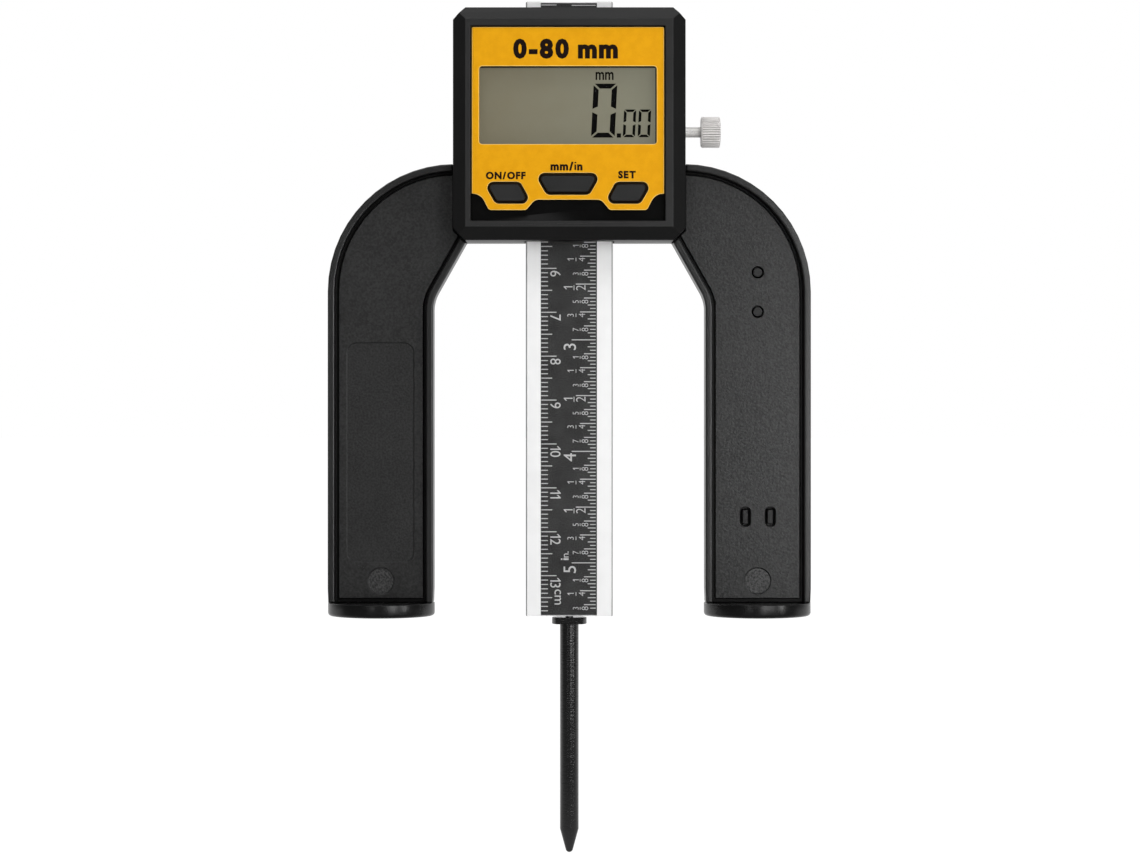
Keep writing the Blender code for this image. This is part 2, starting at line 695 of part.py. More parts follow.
def cut_stand_screw_holes(stand):
    """Drill the stand for the foot screws and the bridge screws."""
    shapes = []
    for side in (-1, 1):
        foot_hole = [(FOOT_SCREW_RADIUS + FIT, FEET_Z),
                     (FOOT_SCREW_RADIUS + FIT, FEET_Z + MAGNET_RECESS + FOOT_SCREW_LENGTH + FIT)]
        shapes.append(turned((side * LEG_CENTRE, 0), "Z", foot_hole))
        bridge_hole = [(BRIDGE_SCREW_RADIUS + FIT, 0),
                       (BRIDGE_SCREW_RADIUS + FIT, BRIDGE_SEAT_Y),
                       (BRIDGE_SCREW_HEAD_RADIUS + FIT, BRIDGE_SEAT_Y),
                       (BRIDGE_SCREW_HEAD_RADIUS + FIT, RIM_REAR_Y + OVERRUN)]
        shapes.append(turned((side * BRIDGE_SCREW_SIDE, BRIDGE_SCREW_Z), "Y", bridge_hole))
    combine(stand, tool("stand_screw_tool", *shapes))


def add_stand(material):
    """Arched stand: rim, sunk web with a raised panel, and a bridge plate behind the head."""
    outline = stand_outline(LEG_END_Z, LEG_TAPER)
    stand = solid("arch_frame", prism(outline, "Y", RIM_FRONT_Y, RIM_REAR_Y), material)
    cut_stand_pockets(stand)
    cut_head_space(stand)
    cut_stand_marks(stand)
    cut_clip_holes(stand)
    cut_stand_screw_holes(stand)


def foot_profile():
    """Return the closed section of a foot disc, from its axis hole round its rim."""
    hole = FOOT_SCREW_RADIUS + FIT
    recess = MAGNET_RADIUS + FIT
    recess_top = FEET_Z + MAGNET_RECESS + MAGNET_THICKNESS + FIT
    centre_radius = FOOT_RADIUS - FOOT_ROUNDING
    rim = []
    for step in range(ARC_STEPS + 1):
        angle = math.pi / 2 * step / ARC_STEPS
        rim.append((centre_radius + FOOT_ROUNDING * math.cos(angle),
                    FEET_Z + FOOT_ROUNDING - FOOT_ROUNDING * math.sin(angle)))
    top = FEET_Z + FOOT_THICKNESS
    return [(hole, top), (FOOT_RADIUS, top), *rim, (recess, FEET_Z), (recess, recess_top),
            (hole, recess_top)]


def add_foot(side, name, plastic, magnetic, steel):
    """Foot disc with its ring magnet and its countersunk screw."""
    centre = side * LEG_CENTRE, 0
    solid("foot_" + name, turned(centre, "Z", foot_profile(), WIDE_SIDES), plastic,
          hollow=True, smooth=True)
    low = FEET_Z + MAGNET_RECESS
    high = low + MAGNET_THICKNESS
    section = [(FOOT_SCREW_RADIUS + FIT, high), (MAGNET_RADIUS, high), (MAGNET_RADIUS, low),
               (FOOT_SCREW_HEAD_RADIUS + FIT, low)]
    solid("magnet_" + name, turned(centre, "Z", section, WIDE_SIDES), magnetic,
          hollow=True, smooth=True)
    screw = [(0, low + DRIVE_DEPTH), (DRIVE_RADIUS, low + DRIVE_DEPTH), (DRIVE_RADIUS, low),
             (FOOT_SCREW_HEAD_RADIUS, low), (FOOT_SCREW_RADIUS, high),
             (FOOT_SCREW_RADIUS, low + FOOT_SCREW_LENGTH), (0, low + FOOT_SCREW_LENGTH)]
    solid("foot_screw_" + name, turned(centre, "Z", screw, SCREW_SIDES), steel, smooth=True)


def clip_section():
    """Return the plan of a clip: a base plate that carries an open ring."""
    plate_back = CLIP_Y + CLIP_PLATE
    outer = CLIP_BORE_RADIUS + CLIP_WALL
    centre = Vector((LEG_CENTRE, plate_back + CLIP_NECK + outer))
    half = CLIP_PLATE_WIDTH / 2
    neck = outer / 2
    drop = math.sqrt(outer ** 2 - neck ** 2)
    start = math.atan2(-drop, neck)
    end = math.pi / 2 - CLIP_MOUTH_ANGLE / 2
    outline = [Vector((LEG_CENTRE - half, CLIP_Y)), Vector((LEG_CENTRE + half, CLIP_Y)),
               Vector((LEG_CENTRE + half, plate_back)), Vector((LEG_CENTRE + neck, plate_back))]
    steps = SHOULDER_STEPS // 2
    right = []
    for step in range(steps + 1):
        angle = start + (end - start) * step / steps
        right.append(centre + Vector((math.cos(angle), math.sin(angle))) * outer)
    inner_steps = SHOULDER_STEPS
    inner_end = math.pi - end
    for step in range(inner_steps + 1):
        angle = end - (math.tau - (inner_end - end)) * step / inner_steps
        right.append(centre + Vector((math.cos(angle), math.sin(angle))) * CLIP_BORE_RADIUS)
    outline += right
    for step in range(steps + 1):
        angle = start + (end - start) * (1 - step / steps)
        outline.append(centre + Vector((-math.cos(angle), math.sin(angle))) * outer)
    outline += [Vector((LEG_CENTRE - neck, plate_back)), Vector((LEG_CENTRE - half, plate_back))]
    return outline


def add_clip(name, middle, height, pins, material):
    """Spring clip for a spare rod, held by pins that pass through the web."""
    outline = clip_section()
    clip = solid(name, prism(outline, "Z", middle - height / 2, middle + height / 2), material)
    pin_end = PANEL_Y + CLIP_PIN_RECESS
    pin_root = CLIP_Y + CLIP_PLATE / 2
    shapes = [prism(pin, "Y", pin_end, pin_root) for pin in pins]
    combine(clip, tool(name + "_pin_tool", *shapes), "UNION")


def add_clips(material):
    """Upper clip on two round pins, lower clip on two flat tongues."""
    pins = [circle(place, CLIP_PIN_RADIUS) for place in clip_pin_places()]
    add_clip("clip_upper", CLIP_UPPER_Z, CLIP_UPPER_HEIGHT, pins, material)
    tongues = [rectangle(place, CLIP_TONGUE_WIDTH, CLIP_TONGUE_HEIGHT)
               for place in clip_tongue_places()]
    add_clip("clip_lower", CLIP_LOWER_Z, CLIP_LOWER_HEIGHT, tongues, material)


def side_key_outline(side, grow=0):
    """Return a slanted side key, larger all round by a margin."""
    corners = [(SIDE_KEY_OUTER_SLANT - SIDE_KEY_OUTER, SIDE_KEY_FOOT),
               (SIDE_KEY_INNER_SLANT - SIDE_KEY_INNER, SIDE_KEY_FOOT),
               (-SIDE_KEY_INNER, SIDE_KEY_TOP), (-SIDE_KEY_OUTER, SIDE_KEY_TOP)]
    outline = inset(rounded(corners, [SIDE_KEY_FILLET] * 4), -grow)
    if side > 0:
        outline = [Vector((-across, up)) for across, up in reversed(outline)]
    return [Vector((FACE_SHIFT + across, HEAD_Z + up)) for across, up in outline]


def middle_key_outline(grow=0):
    """Return the middle key, larger all round by a margin."""
    foot = MIDDLE_KEY_HALF - MIDDLE_KEY_SLANT
    corners = [(-foot, MIDDLE_KEY_FOOT), (foot, MIDDLE_KEY_FOOT),
               (MIDDLE_KEY_HALF, MIDDLE_KEY_TOP), (-MIDDLE_KEY_HALF, MIDDLE_KEY_TOP)]
    outline = inset(rounded(corners, [MIDDLE_KEY_FILLET] * 4), -grow)
    return [Vector((FACE_SHIFT + across, HEAD_Z + up)) for across, up in outline]


def key_outlines(grow=0):
    """Return the three keys' outlines by name."""
    return {"left": side_key_outline(-1, grow), "middle": middle_key_outline(grow),
            "right": side_key_outline(1, grow)}


def middle_of(outline):
    """Return the middle of an outline's box."""
    across = [point[0] for point in outline]
    up = [point[1] for point in outline]
    return (min(across) + max(across)) / 2, (min(up) + max(up)) / 2


def window_outline(grow=0):
    """Return the window's outline, larger all round by a margin."""
    return rectangle((FACE_SHIFT, WINDOW_Z), WINDOW_WIDTH + 2 * grow, WINDOW_HEIGHT + 2 * grow,
                     WINDOW_CORNER)


def shell_blank(material):
    """Head shell before its openings: planed corners and bevels that meet in mitres."""
    blank = prism(head_outline(), "Y", HEAD_Y - OVERRUN, SHELL_BACK_Y)
    shell = solid("front_shell", blank, material)
    centre = 0, HEAD_MIDDLE_Z
    front_size = HEAD_SIZE - 2 * BEVEL_WIDTH
    reach = SHELL_DEPTH + OVERRUN
    back_size = front_size + 2 * BEVEL_WIDTH * reach / BEVEL_DEPTH
    bevel = tool("bevel_tool", [ring(rectangle(centre, front_size, front_size), "Y", HEAD_Y),
                                ring(rectangle(centre, back_size, back_size), "Y", HEAD_Y + reach)])
    combine(shell, bevel, "INTERSECT")
    return shell


def add_front_shell(material):
    """Moulded front shell with the sunk face, the openings and four screw bosses."""
    shell = shell_blank(material)
    face_top = HEAD_Z + PLATE_TOP + FACE_PLAY
    face_foot = HEAD_Z + FACE_RECESS_FOOT
    face = rectangle((FACE_SHIFT, (face_top + face_foot) / 2), 2 * (PLATE_HALF + FACE_PLAY),
                     face_top - face_foot)
    combine(shell, tool("face_tool", prism(face, "Y", HEAD_Y - OVERRUN, FACE_FLOOR_Y)))
    inner = HEAD_SIZE - 2 * SHELL_WALL
    cavity = rectangle((0, HEAD_MIDDLE_Z), inner, inner, HEAD_CORNER)
    combine(shell, tool("cavity_tool", prism(cavity, "Y", FRONT_WALL_Y, SHELL_BACK_Y + OVERRUN)))
    bosses = []
    holes = []
    screw_end = SHELL_SCREW_Y - SHELL_SCREW_LENGTH
    for side in (-1, 1):
        for height in SHELL_SCREW_HEIGHTS:
            place = side * SHELL_SCREW_SIDE, height
            bosses.append(prism(circle(place, BOSS_RADIUS), "Y", FACE_FLOOR_Y + WINDOW_THICKNESS,
                                SHELL_BACK_Y))
            holes.append(prism(circle(place, SHELL_SCREW_RADIUS + FIT), "Y", screw_end - FIT,
                               SHELL_BACK_Y + OVERRUN))
    combine(shell, tool("boss_tool", *bosses), "UNION")
    combine(shell, tool("boss_hole_tool", *holes))
    rebate = window_outline(WINDOW_LAP + FIT)
    opening = window_outline(LEDGE_LAP)
    combine(shell, tool("window_tool", [ring(rebate, "Y", FACE_FLOOR_Y - OVERRUN),
                                        ring(rebate, "Y", WINDOW_BACK_Y + FIT),
                                        ring(opening, "Y", WINDOW_BACK_Y + FIT),
                                        ring(opening, "Y", FRONT_WALL_Y + OVERRUN)]))
    keys = [prism(outline, "Y", HEAD_Y, FRONT_WALL_Y + OVERRUN)
            for outline in key_outlines(KEY_PLAY).values()]
    combine(shell, tool("shell_key_tool", *keys))


def faceplate_outline():
    """Return the plate's outline, with its stepped lower edge."""
    tip = PLATE_HALF - PLATE_TIP_WIDTH
    right = [(PLATE_MIDDLE_END, PLATE_MIDDLE_FOOT), (PLATE_PAD_END, PLATE_PAD_FOOT),
             (tip - PLATE_SLANT, PLATE_PAD_FOOT), (tip, PLATE_SIDE_FOOT),
             (PLATE_HALF, PLATE_SIDE_FOOT), (PLATE_HALF, PLATE_TOP)]
    radii = [PLATE_MIDDLE_FILLET, PLATE_FILLET, PLATE_FILLET, PLATE_SHOULDER_RADIUS, 0, PLATE_CORNER]
    left = [(-across, up) for across, up in reversed(right)]
    outline = rounded(right + left, radii + radii[::-1])
    return [Vector((FACE_SHIFT + across, HEAD_Z + up)) for across, up in outline]


def add_faceplate(material):
    """Coloured plate with the window and the three key openings."""
    back = PLATE_Y + PLATE_THICKNESS
    plate = solid("faceplate", prism(faceplate_outline(), "Y", PLATE_Y, back), material)
    openings = [window_outline(), *key_outlines(KEY_PLAY).values()]
    shapes = [prism(outline, "Y", HEAD_Y, back + OVERRUN) for outline in openings]
    combine(plate, tool("plate_openings_tool", *shapes))


def add_display(clear, glass, plastic, rubber):
    """Clear window, two-plate display, its holder and the two contact strips."""
    window = window_outline(WINDOW_LAP)
    solid("display_window", prism(window, "Y", FACE_FLOOR_Y, WINDOW_BACK_Y), clear)
    front = window_outline(GLASS_LAP)
    centre = FACE_SHIFT, WINDOW_Z
    width = WINDOW_WIDTH + 2 * GLASS_LAP
    height = WINDOW_HEIGHT + 2 * GLASS_LAP
    rear = rectangle(centre, width - 2 * GLASS_SIDE_STEP, height - 2 * GLASS_STEP, WINDOW_CORNER)
    glass_back = GLASS_JOINT_Y + GLASS_THICKNESS
    solid("display_glass", [ring(front, "Y", GLASS_Y), ring(front, "Y", GLASS_JOINT_Y),
                            ring(rear, "Y", GLASS_JOINT_Y), ring(rear, "Y", glass_back)], glass)
    inner = window_outline(GLASS_LAP + FIT)
    outer = window_outline(GLASS_LAP + FIT + HOLDER_WALL)
    solid("display_holder", [ring(outer, "Y", GLASS_Y), ring(outer, "Y", ON_BOARD_Y),
                             ring(inner, "Y", ON_BOARD_Y), ring(inner, "Y", GLASS_Y)],
          plastic, hollow=True)
    strip_y = GLASS_JOINT_Y + FIT
    middle = height / 2 - GLASS_STEP / 2
    for name, side in (("upper", 1), ("lower", -1)):
        strip = rectangle((FACE_SHIFT, WINDOW_Z + side * middle), width - 2 * STRIP_END, STRIP_HEIGHT)
        solid("contact_strip_" + name, prism(strip, "Y", strip_y, ON_BOARD_Y), rubber)


def add_circuit_board(board, plastic, steel):
    """Board with its chip and one key switch behind each cap."""
    width = HEAD_SIZE - 2 * SHELL_WALL - 2 * FIT
    height = HEAD_SIZE - 2 * SHELL_SCREW_INSET - 2 * BOSS_RADIUS - 2 * FIT
    sheet = rectangle((0, HEAD_MIDDLE_Z), width, height)
    solid("circuit_board", prism(sheet, "Y", BOARD_Y, SHELL_BACK_Y), board)
    chip = [(0, ON_BOARD_Y - CHIP_THICKNESS), (CHIP_RADIUS / 2, ON_BOARD_Y - CHIP_THICKNESS),
            (CHIP_RADIUS, ON_BOARD_Y - CHIP_THICKNESS / 3), (CHIP_RADIUS, ON_BOARD_Y),
            (0, ON_BOARD_Y)]
    holder_foot = WINDOW_Z - WINDOW_HEIGHT / 2 - GLASS_LAP - FIT - HOLDER_WALL
    place = CHIP_INSET - PLATE_HALF, holder_foot - CHIP_DROP - CHIP_RADIUS
    solid("chip", turned(place, "Y", chip), plastic, smooth=True)
    for name, outline in key_outlines().items():
        place = middle_of(outline)
        body = rectangle(place, SWITCH_SIZE, SWITCH_SIZE, PLUNGER_RADIUS)
        plunger = rectangle(place, 2 * PLUNGER_RADIUS, 2 * PLUNGER_RADIUS, PLUNGER_RADIUS)
        body_y = ON_BOARD_Y - SWITCH_THICKNESS
        solid("switch_" + name, [ring(body, "Y", ON_BOARD_Y), ring(body, "Y", body_y),
                                 ring(plunger, "Y", body_y), ring(plunger, "Y", PLUNGER_Y)], steel)


def add_keys(material):
    """Three key caps, each with a rounded face and a flange that holds it in."""
    outlines = key_outlines()
    flanges = key_outlines(KEY_FLANGE_WIDTH)
    tops = key_outlines(-KEY_ROUNDING)
    shoulders = key_outlines(-KEY_ROUNDING * (1 - math.sqrt(0.5)))
    for name, outline in outlines.items():
        across, up = middle_of(outline)
        body = carrier("button_" + name + "_axis", (across, KEY_Y, up))
        lift = KEY_ROUNDING * (1 - math.sqrt(0.5))
        rings = [ring(tops[name], "Y", KEY_Y), ring(shoulders[name], "Y", KEY_Y + lift),
                 ring(outline, "Y", KEY_Y + KEY_ROUNDING), ring(outline, "Y", KEY_FLANGE_Y),
                 ring(flanges[name], "Y", KEY_FLANGE_Y), ring(flanges[name], "Y", KEY_BACK_Y)]
        solid("button_" + name, rings, material, parent=body, smooth=True)


def housing_blank(material):
    """Rear housing before its cuts: thin in front of the bridge, deep above it."""
    thin = prism(head_outline(), "Y", HOUSING_Y, HOUSING_SEAT_Y)
    housing = solid("rear_housing", thin, material)
    half, cut = HEAD_HALF, HEAD_CORNER
    deep = [Vector((-half, HOUSING_STEP_Z)), Vector((half, HOUSING_STEP_Z)),
            Vector((half, HEAD_TOP_Z - cut)), Vector((half - cut, HEAD_TOP_Z)),
            Vector((cut - half, HEAD_TOP_Z)), Vector((-half, HEAD_TOP_Z - cut))]
    edge = inset(deep, HOUSING_EDGE)
    back = tool("deep_housing_tool", [ring(deep, "Y", BEAM_MIDDLE_Y),
                                      ring(deep, "Y", HOUSING_BACK_Y - HOUSING_EDGE),
                                      ring(edge, "Y", HOUSING_BACK_Y)])
    combine(housing, back, "UNION")
    return housing


def cut_beam_channel(housing):
    """Open the channel for the beam, the guide strip's slot and the stop screw's groove."""
    low, high = HEAD_Z - OVERRUN, HEAD_TOP_Z + OVERRUN
    channel = block((-CHANNEL_HALF, HOUSING_Y - OVERRUN, low), (CHANNEL_HALF, CHANNEL_Y, high))
    combine(housing, tool("channel_tool", channel))
    slot_side = CHANNEL_HALF + GUIDE_THICKNESS + FIT + SPRING_THICKNESS + SPRING_BOW + FIT
    slot = block((-slot_side, BEAM_Y - FIT, HEAD_Z + GUIDE_END),
                 (-BEAM_HALF, CHANNEL_Y, HEAD_TOP_Z - GUIDE_END))
    combine(housing, tool("guide_slot_tool", slot))
    reach = STOP_HEAD_RADIUS + FIT
    groove = block((STOP_SIDE - reach, BEAM_MIDDLE_Y, STOP_GROOVE_Z),
                   (STOP_SIDE + reach, STOP_BACK_Y + FIT, high))
    combine(housing, tool("stop_groove_tool", groove))


def cut_battery_bay(housing):
    """Open the battery bay, its contact pocket and the lid's track."""
    bay = turned((0, BATTERY_Z), "Y", [(BATTERY_RADIUS + FIT, BAY_Y),
                                       (BATTERY_RADIUS + FIT, LID_Y)], WIDE_SIDES)
    combine(housing, tool("bay_tool", bay))
    pocket_half = EDGE_CONTACT_LENGTH / 2 + FIT
    pocket_foot = edge_contact_z() - FIT
    pocket = block((-pocket_half, CONTACT_Y, pocket_foot), (pocket_half, LID_Y, BATTERY_Z))
    combine(housing, tool("contact_pocket_tool", pocket))
    inner = LID_WIDTH / 2 + LID_TONGUE + FIT
    outer = LID_WIDTH / 2 + FIT
    track = [(-inner, TRACK_Y), (inner, TRACK_Y), (inner, LIP_Y), (outer, LIP_Y),
             (outer, HOUSING_BACK_Y + OVERRUN), (-outer, HOUSING_BACK_Y + OVERRUN),
             (-outer, LIP_Y), (-inner, LIP_Y)]
    combine(housing, tool("track_tool", prism(track, "Z", LID_Z, HEAD_TOP_Z + OVERRUN)))


def cut_lock_hole(housing):
    """Drill for the lock screw and open the shoe's pocket."""
    hole = prism(circle((BEAM_MIDDLE_Y, LOCK_Z), LOCK_SCREW_RADIUS + FIT), "X",
                 CHANNEL_HALF, HEAD_HALF + OVERRUN)
    combine(housing, tool("lock_hole_tool", hole))
    half = LOCK_SHOE_HEIGHT / 2 + FIT
    pocket = block((BEAM_HALF, BEAM_Y + LOCK_SHOE_EDGE - FIT, LOCK_Z - half),
                   (SHOE_END_X + LOCK_BACKING + FIT, BEAM_BACK_Y - LOCK_SHOE_EDGE + FIT,
                    LOCK_Z + half))
    combine(housing, tool("shoe_pocket_tool", pocket))


def cut_housing_screw_holes(housing):
    """Drill for the shell screws, with deep seats, and for the bridge screws."""
    shapes = []
    shank, head = SHELL_SCREW_RADIUS + FIT, SHELL_SCREW_HEAD_RADIUS + FIT
    profile = [(shank, HOUSING_Y - OVERRUN), (shank, SHELL_SEAT_Y), (head, SHELL_SEAT_Y),
               (head, HOUSING_BACK_Y + OVERRUN)]
    tap = [(BRIDGE_SCREW_RADIUS + FIT, BRIDGE_SCREW_Y - BRIDGE_SCREW_LENGTH - FIT),
           (BRIDGE_SCREW_RADIUS + FIT, BRIDGE_FRONT_Y)]
    for side in (-1, 1):
        for height in SHELL_SCREW_HEIGHTS:
            shapes.append(turned((side * SHELL_SCREW_SIDE, height), "Y", profile))
        shapes.append(turned((side * BRIDGE_SCREW_SIDE, BRIDGE_SCREW_Z), "Y", tap))
    combine(housing, tool("housing_screw_tool", *shapes))


def add_rear_housing(material):
    """Rear housing that guides the beam and holds the battery."""
    housing = housing_blank(material)
    cut_beam_channel(housing)
    cut_battery_bay(housing)
    cut_lock_hole(housing)
    cut_housing_screw_holes(housing)


def edge_contact_z():
    """Return the lowest height of the contact under the battery's edge."""
    return BATTERY_Z - BATTERY_RADIUS - FIT - EDGE_CONTACT_BOW - CONTACT_THICKNESS


def bowed_strip(length, bow, thickness):
    """Return the outline of a thin strip that bows to one side, lying along its length."""
    def lift(step):
        return bow * math.sin(math.pi * step / SPRING_STEPS)
    steps = range(SPRING_STEPS + 1)
    near = [(length * (step / SPRING_STEPS - 0.5), lift(step)) for step in steps]
    far = [(along, out + thickness) for along, out in reversed(near)]
    return near + far


def add_battery(steel, plastic):
    """Coin cell, its two contacts and the sliding lid."""
    pole = BATTERY_RADIUS - BATTERY_STEP
    cell = [(0, BATTERY_Y), (pole, BATTERY_Y), (pole, BATTERY_Y + BATTERY_STEP_DEPTH),
            (BATTERY_RADIUS, BATTERY_Y + BATTERY_STEP_DEPTH),
            (BATTERY_RADIUS, TRACK_Y), (0, TRACK_Y)]
    solid("battery", turned((0, BATTERY_Z), "Y", cell, WIDE_SIDES), steel, smooth=True)
    leaf = rectangle((0, BATTERY_Z), CONTACT_LENGTH, CONTACT_WIDTH, CONTACT_WIDTH / 3)
    solid("battery_contact_front", prism(leaf, "Y", CONTACT_Y, CONTACT_Y + CONTACT_THICKNESS), steel)
    strip = bowed_strip(EDGE_CONTACT_LENGTH, EDGE_CONTACT_BOW, CONTACT_THICKNESS)
    edge = [(along, edge_contact_z() + out) for along, out in strip]
    edge_y = BATTERY_Y + BATTERY_STEP_DEPTH
    solid("battery_contact_edge", prism(edge, "Y", edge_y, edge_y + EDGE_CONTACT_WIDTH), steel)
    add_battery_cover(plastic)


def add_battery_cover(material):
    """Lid that slides up out of its track, with grip grooves near its top."""
    low, high = LID_Z + FIT, HEAD_TOP_Z - FIT
    body = carrier("battery_cover_axis", (0, HOUSING_BACK_Y, low))
    tongue = LID_WIDTH / 2 + LID_TONGUE
    half = LID_WIDTH / 2
    tongue_back = LID_Y + LID_TONGUE_THICKNESS
    section = [(-tongue, LID_Y), (tongue, LID_Y), (tongue, tongue_back), (half, tongue_back),
               (half, HOUSING_BACK_Y), (-half, HOUSING_BACK_Y), (-half, tongue_back),
               (-tongue, tongue_back)]
    lid = solid("battery_cover", prism(section, "Z", low, high), material, parent=body)
    grooves = []
    for index in range(GRIP_COUNT):
        middle = high - GRIP_DROP - index * GRIP_PITCH
        grooves.append(block((-GRIP_LENGTH / 2, HOUSING_BACK_Y - GRIP_DEPTH, middle - GRIP_WIDTH / 2),
                             (GRIP_LENGTH / 2, HOUSING_BACK_Y + OVERRUN, middle + GRIP_WIDTH / 2)))
    combine(lid, tool("grip_tool", *grooves))


def screw_mesh(name, radius, length, head_radius, head):
    """Return a screw along Y with its head at the back, a hex socket and its seat at zero."""
    profile = [(0, -length), (radius, -length), (radius, 0), (head_radius, 0), (head_radius, head),
               (DRIVE_RADIUS, head), (DRIVE_RADIUS, head - DRIVE_DEPTH), (0, head - DRIVE_DEPTH)]
    return make_mesh(name, [turned((0, 0), "Y", profile, SCREW_SIDES)])


def add_head_screws(steel):
    """Four shell screws and two bridge screws."""
    shell = screw_mesh("shell_screw", SHELL_SCREW_RADIUS, SHELL_SCREW_LENGTH,
                       SHELL_SCREW_HEAD_RADIUS, SHELL_SCREW_HEAD)
    bridge = screw_mesh("bridge_screw", BRIDGE_SCREW_RADIUS, BRIDGE_SCREW_LENGTH,
                        BRIDGE_SCREW_HEAD_RADIUS, BRIDGE_SCREW_HEAD)
    for name, side in (("left", -1), ("right", 1)):
        for level, height in zip(("lower", "upper"), SHELL_SCREW_HEIGHTS):
            place = side * SHELL_SCREW_SIDE, SHELL_SCREW_Y, height
            stamp("shell_screw_" + level + "_" + name, shell, steel, place, smooth=True)
        place = side * BRIDGE_SCREW_SIDE, BRIDGE_SCREW_Y, BRIDGE_SCREW_Z
        stamp("bridge_screw_" + name, bridge, steel, place, smooth=True)


def add_guide(metal, steel):
    """Guide strip beside the beam and the bowed leaf spring that presses it."""
    low, high = HEAD_Z + GUIDE_END + FIT, HEAD_TOP_Z - GUIDE_END - FIT
    outer = CHANNEL_HALF + GUIDE_THICKNESS
    solid("guide_strip", block((-outer, BEAM_Y, low), (-CHANNEL_HALF, BEAM_BACK_Y, high)), metal)
    strip = bowed_strip(SPRING_LENGTH, SPRING_BOW, SPRING_THICKNESS)
    side = outer + FIT + SPRING_BOW + SPRING_THICKNESS
    leaf = [(out - side, HEAD_MIDDLE_Z + along) for along, out in strip]
    edge = BEAM_THICKNESS / 6
    solid("guide_spring", prism(leaf, "Y", BEAM_Y + edge, BEAM_BACK_Y - edge), steel)


def add_beam(steel, dark):
    """Sliding beam with its scale strip and its two stop screws."""
    body = carrier("beam_axis", (0, BEAM_MIDDLE_Y, BEAM_Z))
    groove_low = SCALE_SHIFT - SCALE_WIDTH / 2 - FIT
    groove_high = SCALE_SHIFT + SCALE_WIDTH / 2 + FIT
    corners = [(-BEAM_HALF, BEAM_Y), (groove_low, BEAM_Y), (groove_low, SCALE_GROOVE_Y),
               (groove_high, SCALE_GROOVE_Y), (groove_high, BEAM_Y), (BEAM_HALF, BEAM_Y),
               (BEAM_HALF, BEAM_BACK_Y), (-BEAM_HALF, BEAM_BACK_Y)]
    edge = BEAM_EDGE
    section = rounded(corners, [edge, 0, 0, 0, 0, edge, edge, edge], 2)
    beam = solid("beam", prism(section, "Z", BEAM_Z, BEAM_TOP_Z), steel, parent=body)
    bore = turned((0, PROBE_Y), "Z", [(STUD_RADIUS + FIT, BEAM_Z - OVERRUN),
                                      (STUD_RADIUS + FIT, BEAM_Z + STUD_LENGTH)])
    shapes = [bore]
    for height in (STOP_LOWER_Z, STOP_UPPER_Z):
        hole = [(STOP_SHANK_RADIUS + FIT, STOP_HEAD_Y - STOP_SHANK_LENGTH - FIT),
                (STOP_SHANK_RADIUS + FIT, BEAM_BACK_Y + OVERRUN)]
        shapes.append(turned((STOP_SIDE, height), "Y", hole))
    combine(beam, tool("beam_hole_tool", *shapes))
    half = SCALE_WIDTH / 2
    solid("scale_strip", block((SCALE_SHIFT - half, BEAM_Y, BEAM_Z + FIT),
                               (SCALE_SHIFT + half, SCALE_BACK_Y, BEAM_TOP_Z - FIT)),
          dark, parent=body)
    stop = screw_mesh("stop_screw", STOP_SHANK_RADIUS, STOP_SHANK_LENGTH, STOP_HEAD_RADIUS,
                      STOP_HEAD_THICKNESS)
    for name, height in (("lower", STOP_LOWER_Z), ("upper", STOP_UPPER_Z)):
        place = Vector((STOP_SIDE, STOP_HEAD_Y, height)) - place_of(body)
        stamp("stop_screw_" + name, stop, steel, place, body, smooth=True)
    return body


def add_probe(beam_body, material):
    """Probe turned in one piece: rounded tip, cone, rod, flatted collar and stud."""
    body = carrier("probe_axis", (0, PROBE_Y, BEAM_Z - FIT), beam_body)
    profile = [(0, 0)]
    for step in range(1, TIP_STEPS + 1):
        angle = TIP_ARC * step / TIP_STEPS
        profile.append((TIP_RADIUS * math.sin(angle), TIP_RADIUS * (1 - math.cos(angle))))
    collar_top = BEAM_Z - FIT
    collar_foot = collar_top - COLLAR_THICKNESS
    profile += [(ROD_RADIUS, TIP_CONE), (ROD_RADIUS, collar_foot), (COLLAR_RADIUS, collar_foot),
                (COLLAR_RADIUS, collar_top), (STUD_RADIUS, collar_top),
                (STUD_RADIUS, collar_top + STUD_LENGTH), (0, collar_top + STUD_LENGTH)]
    rings = turned((0, PROBE_Y), "Z", profile)
    half = COLLAR_FLATS / 2
    for points in rings:
        for point in points:
            point.y = min(max(point.y, PROBE_Y - half), PROBE_Y + half)
    solid("probe", rings, material, parent=body, smooth=True)


def knob_outline(depth):
    """Return the knob's round outline with its straight ribs."""
    outline = []
    for index in range(KNOB_RIBS * 2):
        radius = KNOB_RADIUS - depth * (index % 2)
        angle = math.pi * index / KNOB_RIBS
        outline.append((BEAM_MIDDLE_Y + radius * math.cos(angle), LOCK_Z + radius * math.sin(angle)))
    return outline


